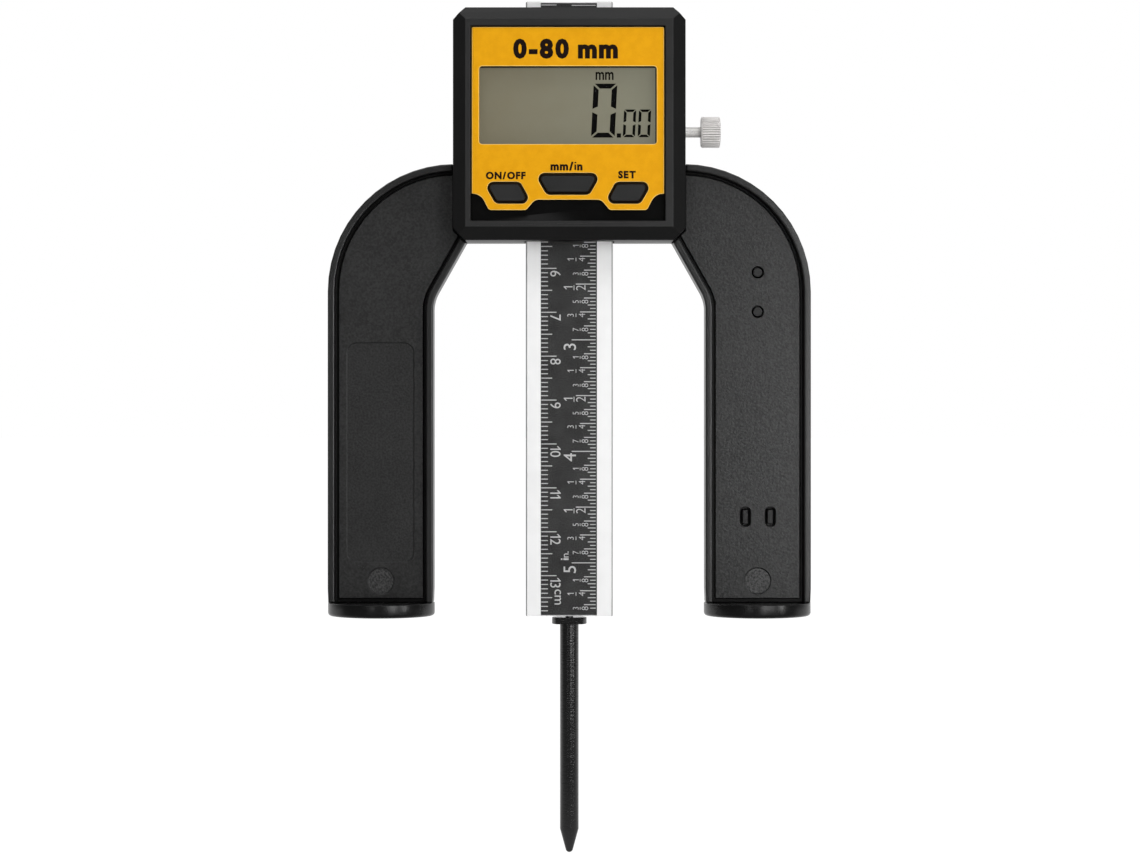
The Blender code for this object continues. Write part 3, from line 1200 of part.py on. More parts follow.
def add_lock(metal, nickel):
    """Lock shoe, and the screw that presses it, with its ribbed knob."""
    shoe_body = carrier("lock_shoe_axis", (SHOE_END_X, BEAM_MIDDLE_Y, LOCK_Z))
    half = LOCK_SHOE_HEIGHT / 2
    shoe = block((SHOE_X, BEAM_Y + LOCK_SHOE_EDGE, LOCK_Z - half),
                 (SHOE_END_X, BEAM_BACK_Y - LOCK_SHOE_EDGE, LOCK_Z + half))
    solid("lock_shoe", shoe, metal, parent=shoe_body)
    screw_body = carrier("lock_screw_axis", (KNOB_X, BEAM_MIDDLE_Y, LOCK_Z), shoe_body)
    centre = BEAM_MIDDLE_Y, LOCK_Z
    inner_end = KNOB_X + KNOB_LENGTH / 2
    shank = [(0, LOCK_TIP_X), (LOCK_SCREW_RADIUS / 2, LOCK_TIP_X),
             (LOCK_SCREW_RADIUS, LOCK_TIP_X + LOCK_SCREW_RADIUS / 2),
             (LOCK_SCREW_RADIUS, inner_end), (0, inner_end)]
    solid("lock_screw", turned(centre, "X", shank), nickel, parent=screw_body, smooth=True)
    shrink = 1 - KNOB_CHAMFER / KNOB_RADIUS
    full = knob_outline(KNOB_RIB_DEPTH)
    plain = [Vector(centre) + (Vector(point) - Vector(centre)) * shrink
             for point in knob_outline(0)]
    rings = [ring(plain, "X", KNOB_X), ring(full, "X", KNOB_X + KNOB_CHAMFER),
             ring(full, "X", KNOB_END_X - KNOB_CHAMFER), ring(plain, "X", KNOB_END_X)]
    knob = solid("lock_knob", rings, nickel, parent=screw_body)
    bore = [(LOCK_SCREW_RADIUS + FIT, KNOB_X - OVERRUN), (LOCK_SCREW_RADIUS + FIT, inner_end + FIT)]
    combine(knob, tool("knob_bore_tool", turned(centre, "X", bore)))


def main():
    """Build the gauge."""
    clear_scene()
    matte = matte_black_plastic()
    gloss = gloss_black_plastic()
    steel = satin_steel()
    nickel = bright_nickel()
    black = black_steel()
    magnet = dark_magnet()
    add_stand(matte)
    add_foot(-1, "left", matte, magnet, black)
    add_foot(1, "right", matte, magnet, black)
    add_clips(matte)
    add_front_shell(gloss)
    add_faceplate(yellow_plate())
    add_display(clear_sheet(), display_grey(), matte, soft_rubber())
    add_circuit_board(board_green(), matte, steel)
    add_keys(grey_rubber())
    add_rear_housing(matte)
    add_battery(nickel, matte)
    add_head_screws(black)
    add_guide(brass(), steel)
    beam_body = add_beam(steel, printed_scale())
    add_probe(beam_body, black)
    add_lock(brass(), nickel)


main()
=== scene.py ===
# %% [markdown]
# # A digital height gauge
# The gauge is a black bridge stand on two round feet, a display head behind a yellow faceplate,
# and a silver beam with a printed scale and a probe. It could be modelled here from nothing, but
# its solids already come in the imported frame, true to size and with their joints. So this script
# adds what they lack, rounded edges, finishes, marks and light, and looks as the photograph does.

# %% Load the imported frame
import json
from math import cos, degrees, pi, radians, sin, tan

import bmesh
import bpy
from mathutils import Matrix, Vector


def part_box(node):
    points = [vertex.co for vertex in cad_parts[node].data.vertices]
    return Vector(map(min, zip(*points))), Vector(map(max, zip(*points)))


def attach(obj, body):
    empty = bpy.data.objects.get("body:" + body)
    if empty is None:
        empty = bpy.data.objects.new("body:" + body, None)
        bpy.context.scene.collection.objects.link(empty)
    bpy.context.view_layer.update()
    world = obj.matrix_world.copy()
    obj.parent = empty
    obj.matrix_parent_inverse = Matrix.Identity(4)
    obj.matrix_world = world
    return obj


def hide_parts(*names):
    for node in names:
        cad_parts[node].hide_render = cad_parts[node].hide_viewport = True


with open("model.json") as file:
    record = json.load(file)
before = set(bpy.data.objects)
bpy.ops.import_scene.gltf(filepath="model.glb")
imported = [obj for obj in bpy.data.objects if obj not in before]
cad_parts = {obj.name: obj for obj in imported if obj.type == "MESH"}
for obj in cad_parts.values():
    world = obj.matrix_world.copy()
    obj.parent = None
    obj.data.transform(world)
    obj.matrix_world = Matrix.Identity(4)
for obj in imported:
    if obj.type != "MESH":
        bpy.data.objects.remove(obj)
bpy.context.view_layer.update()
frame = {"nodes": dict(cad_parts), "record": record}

MM = 0.001
nodes = frame["nodes"]

# %% [markdown]
# ## Sums on sockets
# A shader is a web of small nodes. It could be joined up by hand in the editor, or node by node in
# a long list of calls, but neither can be read afterwards. This class wraps a socket instead, so
# that a pattern is written as a sum. Any other node is one call, which gives its type, its settings
# and what goes into it.

# %% A socket that sums can be written with
FINE_DETAIL = 2
BROAD_DETAIL = 3
NOISE_LOW = 0.35
NOISE_HIGH = 0.65
MIX_FIRST = 6
MIX_SECOND = 7
MIX_COLOUR = 2


class Wire:
    """A socket of a node tree. Sums on it add Math nodes."""

    def __init__(self, tree, socket=None):
        self.tree = tree
        self.socket = socket

    def node(self, kind, values=None, out=0, stops=(), **settings):
        """Add a node: its settings first, then the values or links of its sockets."""
        made = self.tree.nodes.new(kind)
        for name, setting in settings.items():
            setattr(made, name, setting)
        if stops:
            for stop, (place, level) in zip(made.color_ramp.elements, stops):
                stop.position = place
                stop.color = (level, level, level, 1)
        for key, value in (values or {}).items():
            if isinstance(value, Wire):
                self.tree.links.new(value.socket, made.inputs[key])
            else:
                made.inputs[key].default_value = value
        return Wire(self.tree, made.outputs[out])

    def sum(self, operation, first, second):
        """One Math node of two sockets or numbers."""
        return self.node("ShaderNodeMath", {0: first, 1: second}, operation=operation)

    def __add__(self, other):
        return self.sum("ADD", self, other)

    def __radd__(self, other):
        return self.sum("ADD", other, self)

    def __sub__(self, other):
        return self.sum("SUBTRACT", self, other)

    def __rsub__(self, other):
        return self.sum("SUBTRACT", other, self)

    def __mul__(self, other):
        return self.sum("MULTIPLY", self, other)

    def __rmul__(self, other):
        return self.sum("MULTIPLY", other, self)

    def either(self, other):
        """The larger of two sockets."""
        return self.sum("MAXIMUM", self, other)

    def along(self, axis):
        """One coordinate of a place or a direction."""
        return self.node("ShaderNodeSeparateXYZ", {0: self}, out=axis)

    def ray(self, kind):
        """1 for rays of this kind, such as Camera or Glossy, and 0 for the others."""
        return self.node("ShaderNodeLightPath", out="Is " + kind + " Ray")

    def noise(self, size, detail=BROAD_DETAIL):
        """Noise whose blobs are about this size: one number, or three for x, y and z."""
        sizes = size if isinstance(size, tuple) else (size, size, size)
        scale = [1 / part for part in sizes]
        place = self.node("ShaderNodeVectorMath", {0: self, 1: scale}, operation="MULTIPLY")
        return self.node("ShaderNodeTexNoise", {"Vector": place, "Scale": 1, "Detail": detail})

    def ramp(self, start, end):
        """A level that runs between two stops, each a place and a level."""
        return self.node("ShaderNodeValToRGB", {0: self}, stops=(start, end))

    def spread(self, low=NOISE_LOW, high=NOISE_HIGH):
        """Noise keeps near a half, and this draws it out from 0 to 1."""
        return self.ramp((low, 0), (high, 1))

    def mix(self, first, second):
        """A colour between two others, this socket being the share of the second."""
        values = {0: self, MIX_FIRST: first, MIX_SECOND: second}
        return self.node("ShaderNodeMix", values, out=MIX_COLOUR, data_type="RGBA")

    def bump(self, depth):
        """A surface that rises and falls by this depth with the socket."""
        values = {"Height": self, "Strength": 1, "Distance": depth}
        return self.node("ShaderNodeBump", values, out="Normal")


# %% Colours and materials
def linear(level):
    """The light that a display level from 0 to 255 stands for, by the sRGB curve."""
    share = level / 255
    return share / 12.92 if share < 0.04045 else ((share + 0.055) / 1.055) ** 2.4


def tone(red, green=None, blue=None):
    """A colour by its display levels. One number alone is a grey."""
    green = red if green is None else green
    blue = red if blue is None else blue
    return (linear(red), linear(green), linear(blue), 1)


def principled(name, **constants):
    """A material with constants on its shader's sockets, and the place that patterns start from."""
    material = bpy.data.materials.new(name)
    material.use_nodes = True
    tree = material.node_tree
    shader = tree.nodes["Principled BSDF"]
    for socket, value in constants.items():
        shader.inputs[socket.replace("_", " ")].default_value = value
    place = Wire(tree).node("ShaderNodeTexCoord", out="Object")
    return material, shader, place


def feed(shader, **links):
    """Link patterns to the shader's sockets by name."""
    for socket, wire in links.items():
        wire.tree.links.new(wire.socket, shader.inputs[socket.replace("_", " ")])


print("display level 128 stands for light", round(linear(128), 3))

# %% [markdown]
# ## Moulded plastic
# Most of the gauge is black plastic from a spark-eroded mould: even, with a fine grain that
# scatters light, and slightly uneven gloss. A photograph of plastic could be wrapped round it, but
# would show seams and one size of grain. Two noises do it here, a fine one for the grain and a
# broad one for the unevenness. The share of the fine one sets whether it looks speckled or cloudy.

# %% Plastic finishes
PLASTIC_CLOUD = 9 * MM
PLASTIC_SWING = 0.06


def moulded(name, dark, light, roughness, specular, grain, depth, speckle=0.4):
    """A plastic between two tones, with a grain of one size and depth in its surface."""
    material, shader, place = principled(name, Specular_IOR_Level=specular)
    fine = place.noise(grain, FINE_DETAIL)
    broad = place.noise(PLASTIC_CLOUD)
    blend = (broad * (1 - speckle) + fine * speckle).spread()
    feed(shader, Base_Color=blend.mix(dark, light), Normal=fine.bump(depth),
         Roughness=roughness - PLASTIC_SWING + broad * (2 * PLASTIC_SWING))
    return material


# Each line: two tones, roughness, specular level, size and depth of the grain, share of speckle.
stand_web = moulded("stand_web", tone(24), tone(44), 0.33, 0.45, 0.45 * MM, 0.045 * MM, 0.85)
stand_rim = moulded("stand_rim", tone(24), tone(28), 0.3, 0.62, 0.4 * MM, 0.004 * MM)
# The groove is near black: painted shade of the deep gap between rim and panel.
stand_groove_shade = moulded("stand_groove_shade", tone(5), tone(8), 0.35, 0.15, 0.3 * MM, 0.004 * MM)
stand_mark = moulded("stand_mark", tone(14), tone(68), 0.36, 0.5, 0.45 * MM, 0.06 * MM, 0.95)
stand_side = moulded("stand_side", tone(14), tone(20), 0.35, 0.45, 0.4 * MM, 0.006 * MM)
foot_black = moulded("foot_black", tone(6), tone(12), 0.27, 0.4, 0.45 * MM, 0.012 * MM, 0.6)
head_front = moulded("head_front", tone(33), tone(37), 0.42, 0.35, 0.3 * MM, 0.003 * MM)
# A darker, duller copy of the front's plastic for the side and bottom bevels: painted shade.
head_side_shade = moulded("head_side_shade", tone(25), tone(28), 0.4, 0.06, 0.3 * MM, 0.003 * MM)
head_floor = moulded("head_floor", tone(10), tone(12), 0.25, 0.08, 0.3 * MM, 0.002 * MM)
head_back = moulded("head_back", tone(22), tone(27), 0.4, 0.4, 0.35 * MM, 0.008 * MM)
inner_plastic = moulded("inner_plastic", tone(34), tone(40), 0.5, 0.4, 0.4 * MM, 0.01 * MM)
key_rubber = moulded("key_rubber", tone(27), tone(33), 0.5, 0.35, 0.2 * MM, 0.003 * MM)
# Dark brown for the keys' rounded rims: painted shade of the gap round them.
key_edge_shade = moulded("key_edge_shade", tone(8, 3, 2), tone(12, 5, 3), 0.4, 0.2, 0.2 * MM, 0.002 * MM)
contact_rubber = moulded("contact_rubber", tone(140), tone(150), 0.7, 0.3, 0.2 * MM, 0.01 * MM)
circuit_green = moulded("circuit_green", tone(20, 88, 52), tone(28, 104, 60), 0.35, 0.5, 2 * MM,
                        0.01 * MM)
print("plastics:", len(bpy.data.materials))

# %% [markdown]
# ## Metals
# The beam is ground and satin plated, and looks almost white. The knob and the small parts are
# nickel plated, the screws and the probe blackened. A mirror-like metal would be simpler, but it
# shows the dim side of the room and turns grey, so the plated ones here are pale paints with a
# little metal in them. The strokes of the tool are noise drawn out along one axis.

# %% Metal finishes
METAL_CLOUD = 6 * MM
METAL_SWING = 0.05


def metal(name, colour, deep, roughness, strokes, depth, metallic=1.0, specular=0.5):
    """A metal whose strokes have this size in x, y and z."""
    material, shader, place = principled(name, Metallic=metallic, Specular_IOR_Level=specular)
    grain = place.noise(strokes)
    cloud = place.noise(METAL_CLOUD, FINE_DETAIL)
    feed(shader, Base_Color=cloud.spread().mix(deep, colour), Normal=grain.bump(depth),
         Roughness=roughness - METAL_SWING + grain * (2 * METAL_SWING))
    return material


LENGTHWISE = (0.15 * MM, 0.15 * MM, 9 * MM)
ROUND_ABOUT = (3 * MM, 3 * MM, 0.25 * MM)
EVEN = (0.2 * MM, 0.2 * MM, 0.2 * MM)
# Each line: two tones, roughness, size of the strokes, their depth, share of metal, specular level.
beam_steel = metal("beam_steel", tone(248), tone(244), 0.4, EVEN, 0.004 * MM, 0.2)
beam_edge = metal("beam_edge", tone(186), tone(178), 0.35, LENGTHWISE, 0.001 * MM, 0.4)
nickel = metal("nickel", tone(252, 250, 248), tone(238, 236, 233), 0.28, EVEN, 0.001 * MM, 0.2)
knob_nickel = metal("knob_nickel", tone(246, 243, 241), tone(236, 233, 231), 0.35, EVEN,
                    0.002 * MM, 0.25)
# A darker copy of the knob's nickel for the faces between its ribs: painted shade.
knob_groove_shade = metal("knob_groove_shade", tone(186, 183, 181), tone(174, 171, 169), 0.4, EVEN,
                    0.002 * MM, 0.25)
plain_steel = metal("plain_steel", tone(205), tone(190), 0.3, EVEN, 0.002 * MM)
brass = metal("brass", tone(214, 178, 104), tone(196, 160, 88), 0.32, EVEN, 0.002 * MM)
black_steel = metal("black_steel", tone(14), tone(9), 0.3, EVEN, 0.003 * MM, 0.0, 0.5)
probe_black = metal("probe_black", tone(9), tone(5), 0.2, ROUND_ABOUT, 0.08 * MM, 0.0, 0.7)
magnet_iron = metal("magnet_iron", tone(92), tone(74), 0.5, EVEN, 0.006 * MM, 0.8)
print("finishes:", len(bpy.data.materials))

# %% [markdown]
# ## Rounding what the frame gives
# A CAD solid has knife edges, and no real edge is one: each catches a thin line of light. Shading
# alone could feign that, but an outline would stay sharp. So a piece is copied, its triangles are
# joined back into whole faces, and its edges are rounded by a bevel whose width can differ from
# edge to edge. Normals weighted by area keep the wide faces flat.

# %% Put a mesh on a body
def show(name, mesh, body, materials, replaced=()):
    """Make an object of a mesh, put it on a body, and let it stand for nodes."""
    piece = bpy.data.objects.new(name, mesh)
    bpy.context.scene.collection.objects.link(piece)
    for material in materials:
        mesh.materials.append(material)
    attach(piece, body)
    if replaced:
        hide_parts(*replaced)
    return piece


def body_of(name):
    """The body that a node rides on."""
    bodies = frame["record"]["behaviour"]["bodies"]
    return next(body for body, names in bodies.items() if name in names)


print("the beam rides on:", body_of("beam"))

# %% Round a copy of a node
FLAT_ANGLE = radians(1)
EDGE_ANGLE = radians(28)
WELD = 0.002 * MM


def softened(name, width, materials, choose=None, share=None, shift=None, left=None,
             edge_material=-1, segments=3):
    """A rounded copy of a node that stands for it.

    choose(face) gives a face's material number, share(middle) an edge's part of the bevel's width,
    shift(vertex) moves a corner before the rounding, and left(face) says that a face stays as it
    is. A face with openings has to stay, because joined into one it would be drawn over them.
    """
    form = bmesh.new()
    form.from_mesh(nodes[name].data)
    bmesh.ops.remove_doubles(form, verts=form.verts, dist=WELD)
    if shift:
        for vertex in form.verts:
            shift(vertex)
    form.normal_update()

    def kept(edge):
        return bool(left) and any(left(face) for face in edge.link_faces)

    joined = [edge for edge in form.edges if not kept(edge)]
    corners = dict.fromkeys(vertex for edge in joined for vertex in edge.verts)
    bmesh.ops.dissolve_limit(form, angle_limit=FLAT_ANGLE, verts=list(corners), edges=joined)
    form.normal_update()
    for face in form.faces:
        face.smooth = True
        face.material_index = choose(face) if choose else 0
    weight = form.edges.layers.float.new("bevel_weight_edge")
    for edge in form.edges:
        if edge.calc_face_angle(0) > EDGE_ANGLE:
            part = 0 if kept(edge) else 1
            if part and share:
                part = share((edge.verts[0].co + edge.verts[1].co) / 2)
            edge[weight] = part
            edge.smooth = part > 0
    mesh = bpy.data.meshes.new(name + "_form")
    form.to_mesh(mesh)
    form.free()
    piece = show(name + "_form", mesh, body_of(name), materials, [name])
    bevel = piece.modifiers.new("Edges", "BEVEL")
    bevel.width = width
    bevel.segments = segments
    bevel.limit_method = "WEIGHT"
    bevel.use_clamp_overlap = False
    bevel.material = edge_material
    bevel.miter_outer = "MITER_ARC"
    weighted = piece.modifiers.new("Normals", "WEIGHTED_NORMAL")
    weighted.mode = "FACE_AREA"
    weighted.keep_sharp = True


print("edges over", round(degrees(EDGE_ANGLE)), "degrees are rounded")

# %% [markdown]
# ## Turned pieces
# Feet, probe and knob come from a lathe. A bevel could round their solids, but the frame's circles
# are coarse, and highlights would break on them. So they are made as a lathe makes them: a profile
# of radii and places along an axis, turned in many fine steps.

# %% Turn a profile about an axis
CREASE = radians(35)
RIB_DEPTH = 0.2 * MM
ARC_STEPS = 5
SMALL_ARC_STEPS = 3


def arc(radius, along, size, start, end, steps=ARC_STEPS):
    """Profile points of a small rounding about a centre, between two angles in degrees."""
    points = []
    for step in range(steps + 1):
        angle = radians(start + (end - start) * step / steps)
        points.append((radius + size * cos(angle), along + size * sin(angle)))
    return points


def turned(name, profile, centre, axis, body, materials, replaced, sides=96, closed=False,
           rib=None, limit=None):
    """A turned piece. rib(radius, step) is how deep a step lies, and limit cuts flats across y.

    Faces that lie between two ribs get the second material, a darker one that is painted shade.
    """
    form = bmesh.new()
    rings = []
    for radius, along in profile:
        ring = []
        for step in range(sides if radius else 1):
            angle = 2 * pi * step / sides
            reach = radius - rib(radius, step) if rib and radius else radius
            first = centre[0] + reach * cos(angle)
            second = centre[1] + reach * sin(angle)
            if limit:
                second = min(max(second, centre[1] - limit), centre[1] + limit)
            point = (first, second, along) if axis == "Z" else (along, first, second)
            ring.append(form.verts.new(point))
        rings.append(ring)
    pairs = list(zip(profile, rings, rings[1:]))
    if closed:
        pairs.append((profile[-1], rings[-1], rings[0]))
    for (radius, along), low, high in pairs:
        for step in range(sides):
            after = (step + 1) % sides
            if len(low) == 1:
                form.faces.new((low[0], high[step], high[after]))
            elif len(high) == 1:
                form.faces.new((low[step], high[0], low[after]))
            else:
                face = form.faces.new((low[step], high[step], high[after], low[after]))
                if rib and rib(radius, step) + rib(radius, after) > RIB_DEPTH:
                    face.material_index = 1
    bmesh.ops.recalc_face_normals(form, faces=form.faces)
    for face in form.faces:
        face.smooth = True
    for edge in form.edges:
        edge.smooth = edge.calc_face_angle(0) < CREASE
    mesh = bpy.data.meshes.new(name)
    form.to_mesh(mesh)
    form.free()
    show(name, mesh, body, materials, replaced)


print("a quarter of a rounding has", len(arc(0, 0, 1, 0, 90)), "points")

# %% [markdown]
# ## The stand
# One moulding makes the arch: a raised rim, a groove inside it, and a wide panel with a fine
# texture. The panel could be painted by a mask, but each level of the real one is a step in depth.
# So faces are told apart by how far forward they lie, and each level gets its own finish. The
# groove's finish is near black, a painted shade of the deep gap between rim and panel. The frame
# leaves a little play above the feet, which the foot screws close on the real gauge.

# %% Stand
stand_low, stand_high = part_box("arch_frame")
RIM_DEPTH = stand_low.y
GROOVE_DEPTH = -1.5 * MM
PANEL_DEPTH = -2.0 * MM
MARK_DEPTH = -1.75 * MM
ROUND_MARK_TOP = 66 * MM
NEAR = 0.1 * MM
FACING = 0.9
SEAM = 0.02 * MM
FOOT_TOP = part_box("foot_left")[1].z
STAND_ROUNDING = 0.42 * MM
CLIP_ROUNDING = 0.15 * MM
PANEL_SHARE = 0.5
MARK_SHARE = 0.3


def stand_face(face):
    """0 rim, 1 panel, 2 groove in painted shade, 3 round mark, 4 side."""
    middle = face.calc_center_median()
    if face.normal.y > -FACING:
        return 4
    if abs(middle.y - MARK_DEPTH) < NEAR:
        return 3 if middle.z < ROUND_MARK_TOP else 1
    for number, depth in ((0, RIM_DEPTH), (1, PANEL_DEPTH), (2, GROOVE_DEPTH)):
        if abs(middle.y - depth) < NEAR:
            return number
    return 4


def stand_edge(middle):
    """The rim is well rounded, the panel a little, and the sunk marks hardly at all."""
    if abs(middle.y - RIM_DEPTH) < NEAR:
        return 1
    return PANEL_SHARE if abs(middle.y - MARK_DEPTH) > NEAR else MARK_SHARE


def close_leg(vertex):
    """Bring the legs' lower ends down to the feet."""
    if vertex.co.z < stand_low.z + NEAR:
        vertex.co.z = FOOT_TOP + SEAM


stand_finishes = [stand_rim, stand_web, stand_groove_shade, stand_mark, stand_side]
softened("arch_frame", STAND_ROUNDING, stand_finishes, stand_face, stand_edge, close_leg,
         segments=4)
for level in ("upper", "lower"):
    softened("clip_" + level, CLIP_ROUNDING, [stand_side])
print("stand:", [round(value / MM, 1) for value in stand_high - stand_low])

# %% Feet
FOOT_RADIUS = 12.2 * MM
FOOT_ROUNDING = 0.8 * MM
FOOT_EDGE = 0.15 * MM
FOOT_HOLE = 1.3 * MM
FOOT_SIDES = 128
MAGNET_BORE = 9.3 * MM
MAGNET_DEEP = 1.9 * MM

for side in ("left", "right"):
    low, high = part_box("foot_" + side)
    profile = [(FOOT_HOLE, high.z)]
    profile += arc(FOOT_RADIUS - FOOT_EDGE, high.z - FOOT_EDGE, FOOT_EDGE, 90, 0, SMALL_ARC_STEPS)
    profile += arc(FOOT_RADIUS - FOOT_ROUNDING, low.z + FOOT_ROUNDING, FOOT_ROUNDING, 0, -90)
    pocket = low.z + MAGNET_DEEP
    profile += [(MAGNET_BORE, low.z), (MAGNET_BORE, pocket), (FOOT_HOLE, pocket)]
    centre = ((low.x + high.x) / 2, (low.y + high.y) / 2)
    turned("foot_" + side + "_form", profile, centre, "Z", "stand", [foot_black], ["foot_" + side],
           FOOT_SIDES, closed=True)
print("feet:", round(2 * FOOT_RADIUS / MM, 1), "mm across")

# %% [markdown]
# ## The head
# The front shell has wide bevels that meet in mitres. Its front and top bevel pick up light, its
# side and bottom bevels stay almost black, and the floor round the faceplate is polished. Light
# alone could part them, but only for one view, so the side and bottom bevels get a darker, duller
# copy of the front's plastic as painted shade, and the floor a finish of its own. Behind the shell
# sits the rear housing, drawn up to it by four screws, so the play between them is closed here.

# %% Head
shell_low, shell_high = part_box("front_shell")
plate_low, plate_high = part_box("faceplate")
housing_low, housing_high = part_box("rear_housing")
TILTED = 0.5
FRONT_DEPTH = 0.5 * MM
TOP_BEVEL = 4 * MM
PLANED_CORNER = 3 * MM
HOUSING_PLAY = 0.3 * MM
SHELL_ROUNDING = 0.15 * MM
HOUSING_ROUNDING = 0.2 * MM
LID_ROUNDING = 0.15 * MM


def shell_face(face):
    """0 front and top, 1 sides and bottom in painted shade, 2 polished floor, 3 behind."""
    middle = face.calc_center_median()
    if face.normal.y > TILTED:
        return 3
    if face.normal.y < -FACING:
        return 0 if middle.y < shell_low.y + FRONT_DEPTH else 2
    if face.normal.z > TILTED and middle.z > shell_high.z - TOP_BEVEL:
        return 0
    return 1


def shell_inside(face):
    """The floor round the faceplate, and all that lies behind it."""
    middle = face.calc_center_median()
    beside = abs(middle.x) > shell_high.x - NEAR
    inside = not beside and shell_low.z + NEAR < middle.z < shell_high.z - NEAR
    return inside and middle.y > plate_high.y + 2 * NEAR


def housing_edge(middle):
    """Outer edges and planed corners are rounded, and the edges of holes and slots stay sharp."""
    side = abs(middle.x) > housing_high.x - NEAR
    end = not housing_low.z + NEAR < middle.z < housing_high.z - NEAR
    corner = abs(middle.x) + middle.z > housing_high.x + housing_high.z - PLANED_CORNER
    return 1 if side or end or corner else 0


def close_seam(vertex):
    """Bring the rear housing up to the front shell."""
    if abs(vertex.co.y - shell_high.y - HOUSING_PLAY) < NEAR:
        vertex.co.y = shell_high.y + SEAM


shell_finishes = [head_front, head_side_shade, head_floor, head_back]
softened("front_shell", SHELL_ROUNDING, shell_finishes, shell_face, left=shell_inside)
softened("rear_housing", HOUSING_ROUNDING, [head_back], share=housing_edge, shift=close_seam)
softened("battery_cover", LID_ROUNDING, [head_back])
print("head:", [round(value / MM, 1) for value in shell_high - shell_low])

# %% [markdown]
# ## Beam, probe and lock screw
# The beam is satin plated and almost white, with grey rounded sides. The frame leaves the scale
# strip a little play in its groove, and the real strip fills it, so the groove's walls are drawn in
# to the strip here. The probe has a rounded tip and a collar with two flats. The knob has fine
# straight ribs, which could be a bump, but they show at its outline, so they are geometry.

# %% Beam
strip_low, strip_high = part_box("scale_strip")
GROOVE_PLAY = 0.5 * MM
BEAM_SIDE = 9 * MM
BEAM_ROUNDING = 0.22 * MM


def close_groove(vertex):
    """Move a corner of the groove's walls to the strip's edge."""
    for edge in (strip_low.x, strip_high.x):
        if abs(vertex.co.x - edge) < GROOVE_PLAY:
            vertex.co.x = edge


def beam_outside(middle):
    """Only the beam's outer edges are rounded."""
    return 1 if abs(middle.x) > BEAM_SIDE else 0


softened("beam", BEAM_ROUNDING, [beam_steel, beam_edge], share=beam_outside, shift=close_groove,
         edge_material=1)
print("strip:", round((strip_high.x - strip_low.x) / MM, 2), "mm wide")

# %% Probe
probe_low, probe_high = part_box("probe")
TIP_RADIUS = 0.85 * MM
TIP_SWEEP = 68
CONE_TOP = 5.4 * MM
ROD_RADIUS = 2.13 * MM
COLLAR_RADIUS = 3.97 * MM
COLLAR_FOOT = 52.2 * MM
COLLAR_TOP = 53.7 * MM
COLLAR_EDGE = 0.15 * MM
STUD_RADIUS = 0.9 * MM

profile = [(0, probe_low.z)]
profile += arc(0, probe_low.z + TIP_RADIUS, TIP_RADIUS, -90, TIP_SWEEP - 90)[1:]
profile += [(ROD_RADIUS, CONE_TOP), (ROD_RADIUS, COLLAR_FOOT)]
rounding = COLLAR_RADIUS - COLLAR_EDGE
profile += arc(rounding, COLLAR_FOOT + COLLAR_EDGE, COLLAR_EDGE, -90, 0, SMALL_ARC_STEPS)
profile += arc(rounding, COLLAR_TOP - COLLAR_EDGE, COLLAR_EDGE, 0, 90, SMALL_ARC_STEPS)
profile += [(STUD_RADIUS, COLLAR_TOP), (STUD_RADIUS, probe_high.z), (0, probe_high.z)]
probe_centre = (0, (probe_low.y + probe_high.y) / 2)
turned("probe_form", profile, probe_centre, "Z", "probe", [probe_black], ["probe"],
       limit=(probe_high.y - probe_low.y) / 2)
print("probe:", round((probe_high.z - probe_low.z) / MM, 1), "mm long with its stud")

# %% Lock screw and knob
SCREW_ROUNDING = 0.12 * MM
softened("lock_screw", SCREW_ROUNDING, [nickel])
knob_low, knob_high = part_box("lock_knob")
KNOB_RADIUS = 3.5 * MM
KNOB_RIBS = 38
RIB_STEPS = 4
RIBBED_FROM = KNOB_RADIUS - 0.3 * MM
INNER_CHAMFER = 0.3 * MM
OUTER_ROUNDING = 0.35 * MM
BORE_RADIUS = 1.5 * MM
BORE_DEPTH = 2.5 * MM


def knob_rib(radius, step):
    """How deep the groove between two ribs is at a step round the knob."""
    part = abs(step % RIB_STEPS - RIB_STEPS / 2) / (RIB_STEPS / 2)
    return RIB_DEPTH * (1 - part) if radius > RIBBED_FROM else 0


bore_end = knob_low.x + BORE_DEPTH
profile = [(0, bore_end), (BORE_RADIUS, bore_end), (BORE_RADIUS, knob_low.x),
           (KNOB_RADIUS - INNER_CHAMFER, knob_low.x), (KNOB_RADIUS, knob_low.x + INNER_CHAMFER)]
profile += arc(KNOB_RADIUS - OUTER_ROUNDING, knob_high.x - OUTER_ROUNDING, OUTER_ROUNDING, 0, 90)
profile += [(0, knob_high.x)]
knob_centre = ((knob_low.y + knob_high.y) / 2, (knob_low.z + knob_high.z) / 2)
# The faces in the grooves between the ribs get a darker nickel, which is painted shade.
turned("lock_knob_form", profile, knob_centre, "X", "lock_screw", [knob_nickel, knob_groove_shade],
       ["lock_knob"], KNOB_RIBS * RIB_STEPS, rib=knob_rib)
print("knob ribs:", KNOB_RIBS)

# %% [markdown]
# ## Faceplate and keys
# The plate is a punched and printed sheet in warm yellow, with a window and three key holes. Its
# rounded front edges show lighter than its face, and its cut walls stay dark in their gaps. One
# yellow could do for all three, but the thin light line round every hole would be lost. So the
# bevel that rounds the edges gets a pale yellow as a painted highlight, and the cut walls get a
# dark brown as painted shade. The keys are dark rubber, and their rounded rims are painted dark
# brown as the shade of the gap round them.

# %% Faceplate and keys
BLOTCH = 2.2 * MM
BLOTCH_DETAIL = 4
BLOTCH_SHARE = 0.7
PLATE_LOW = 0.4
PLATE_HIGH = 0.6
PLATE_SWING = 0.05
PLATE_GRAIN = 0.25 * MM
PLATE_DEPTH = 0.003 * MM
PLATE_ROUNDING = 0.14 * MM
KEY_ROUNDING = 0.36 * MM
FLAT_ON = 0.7


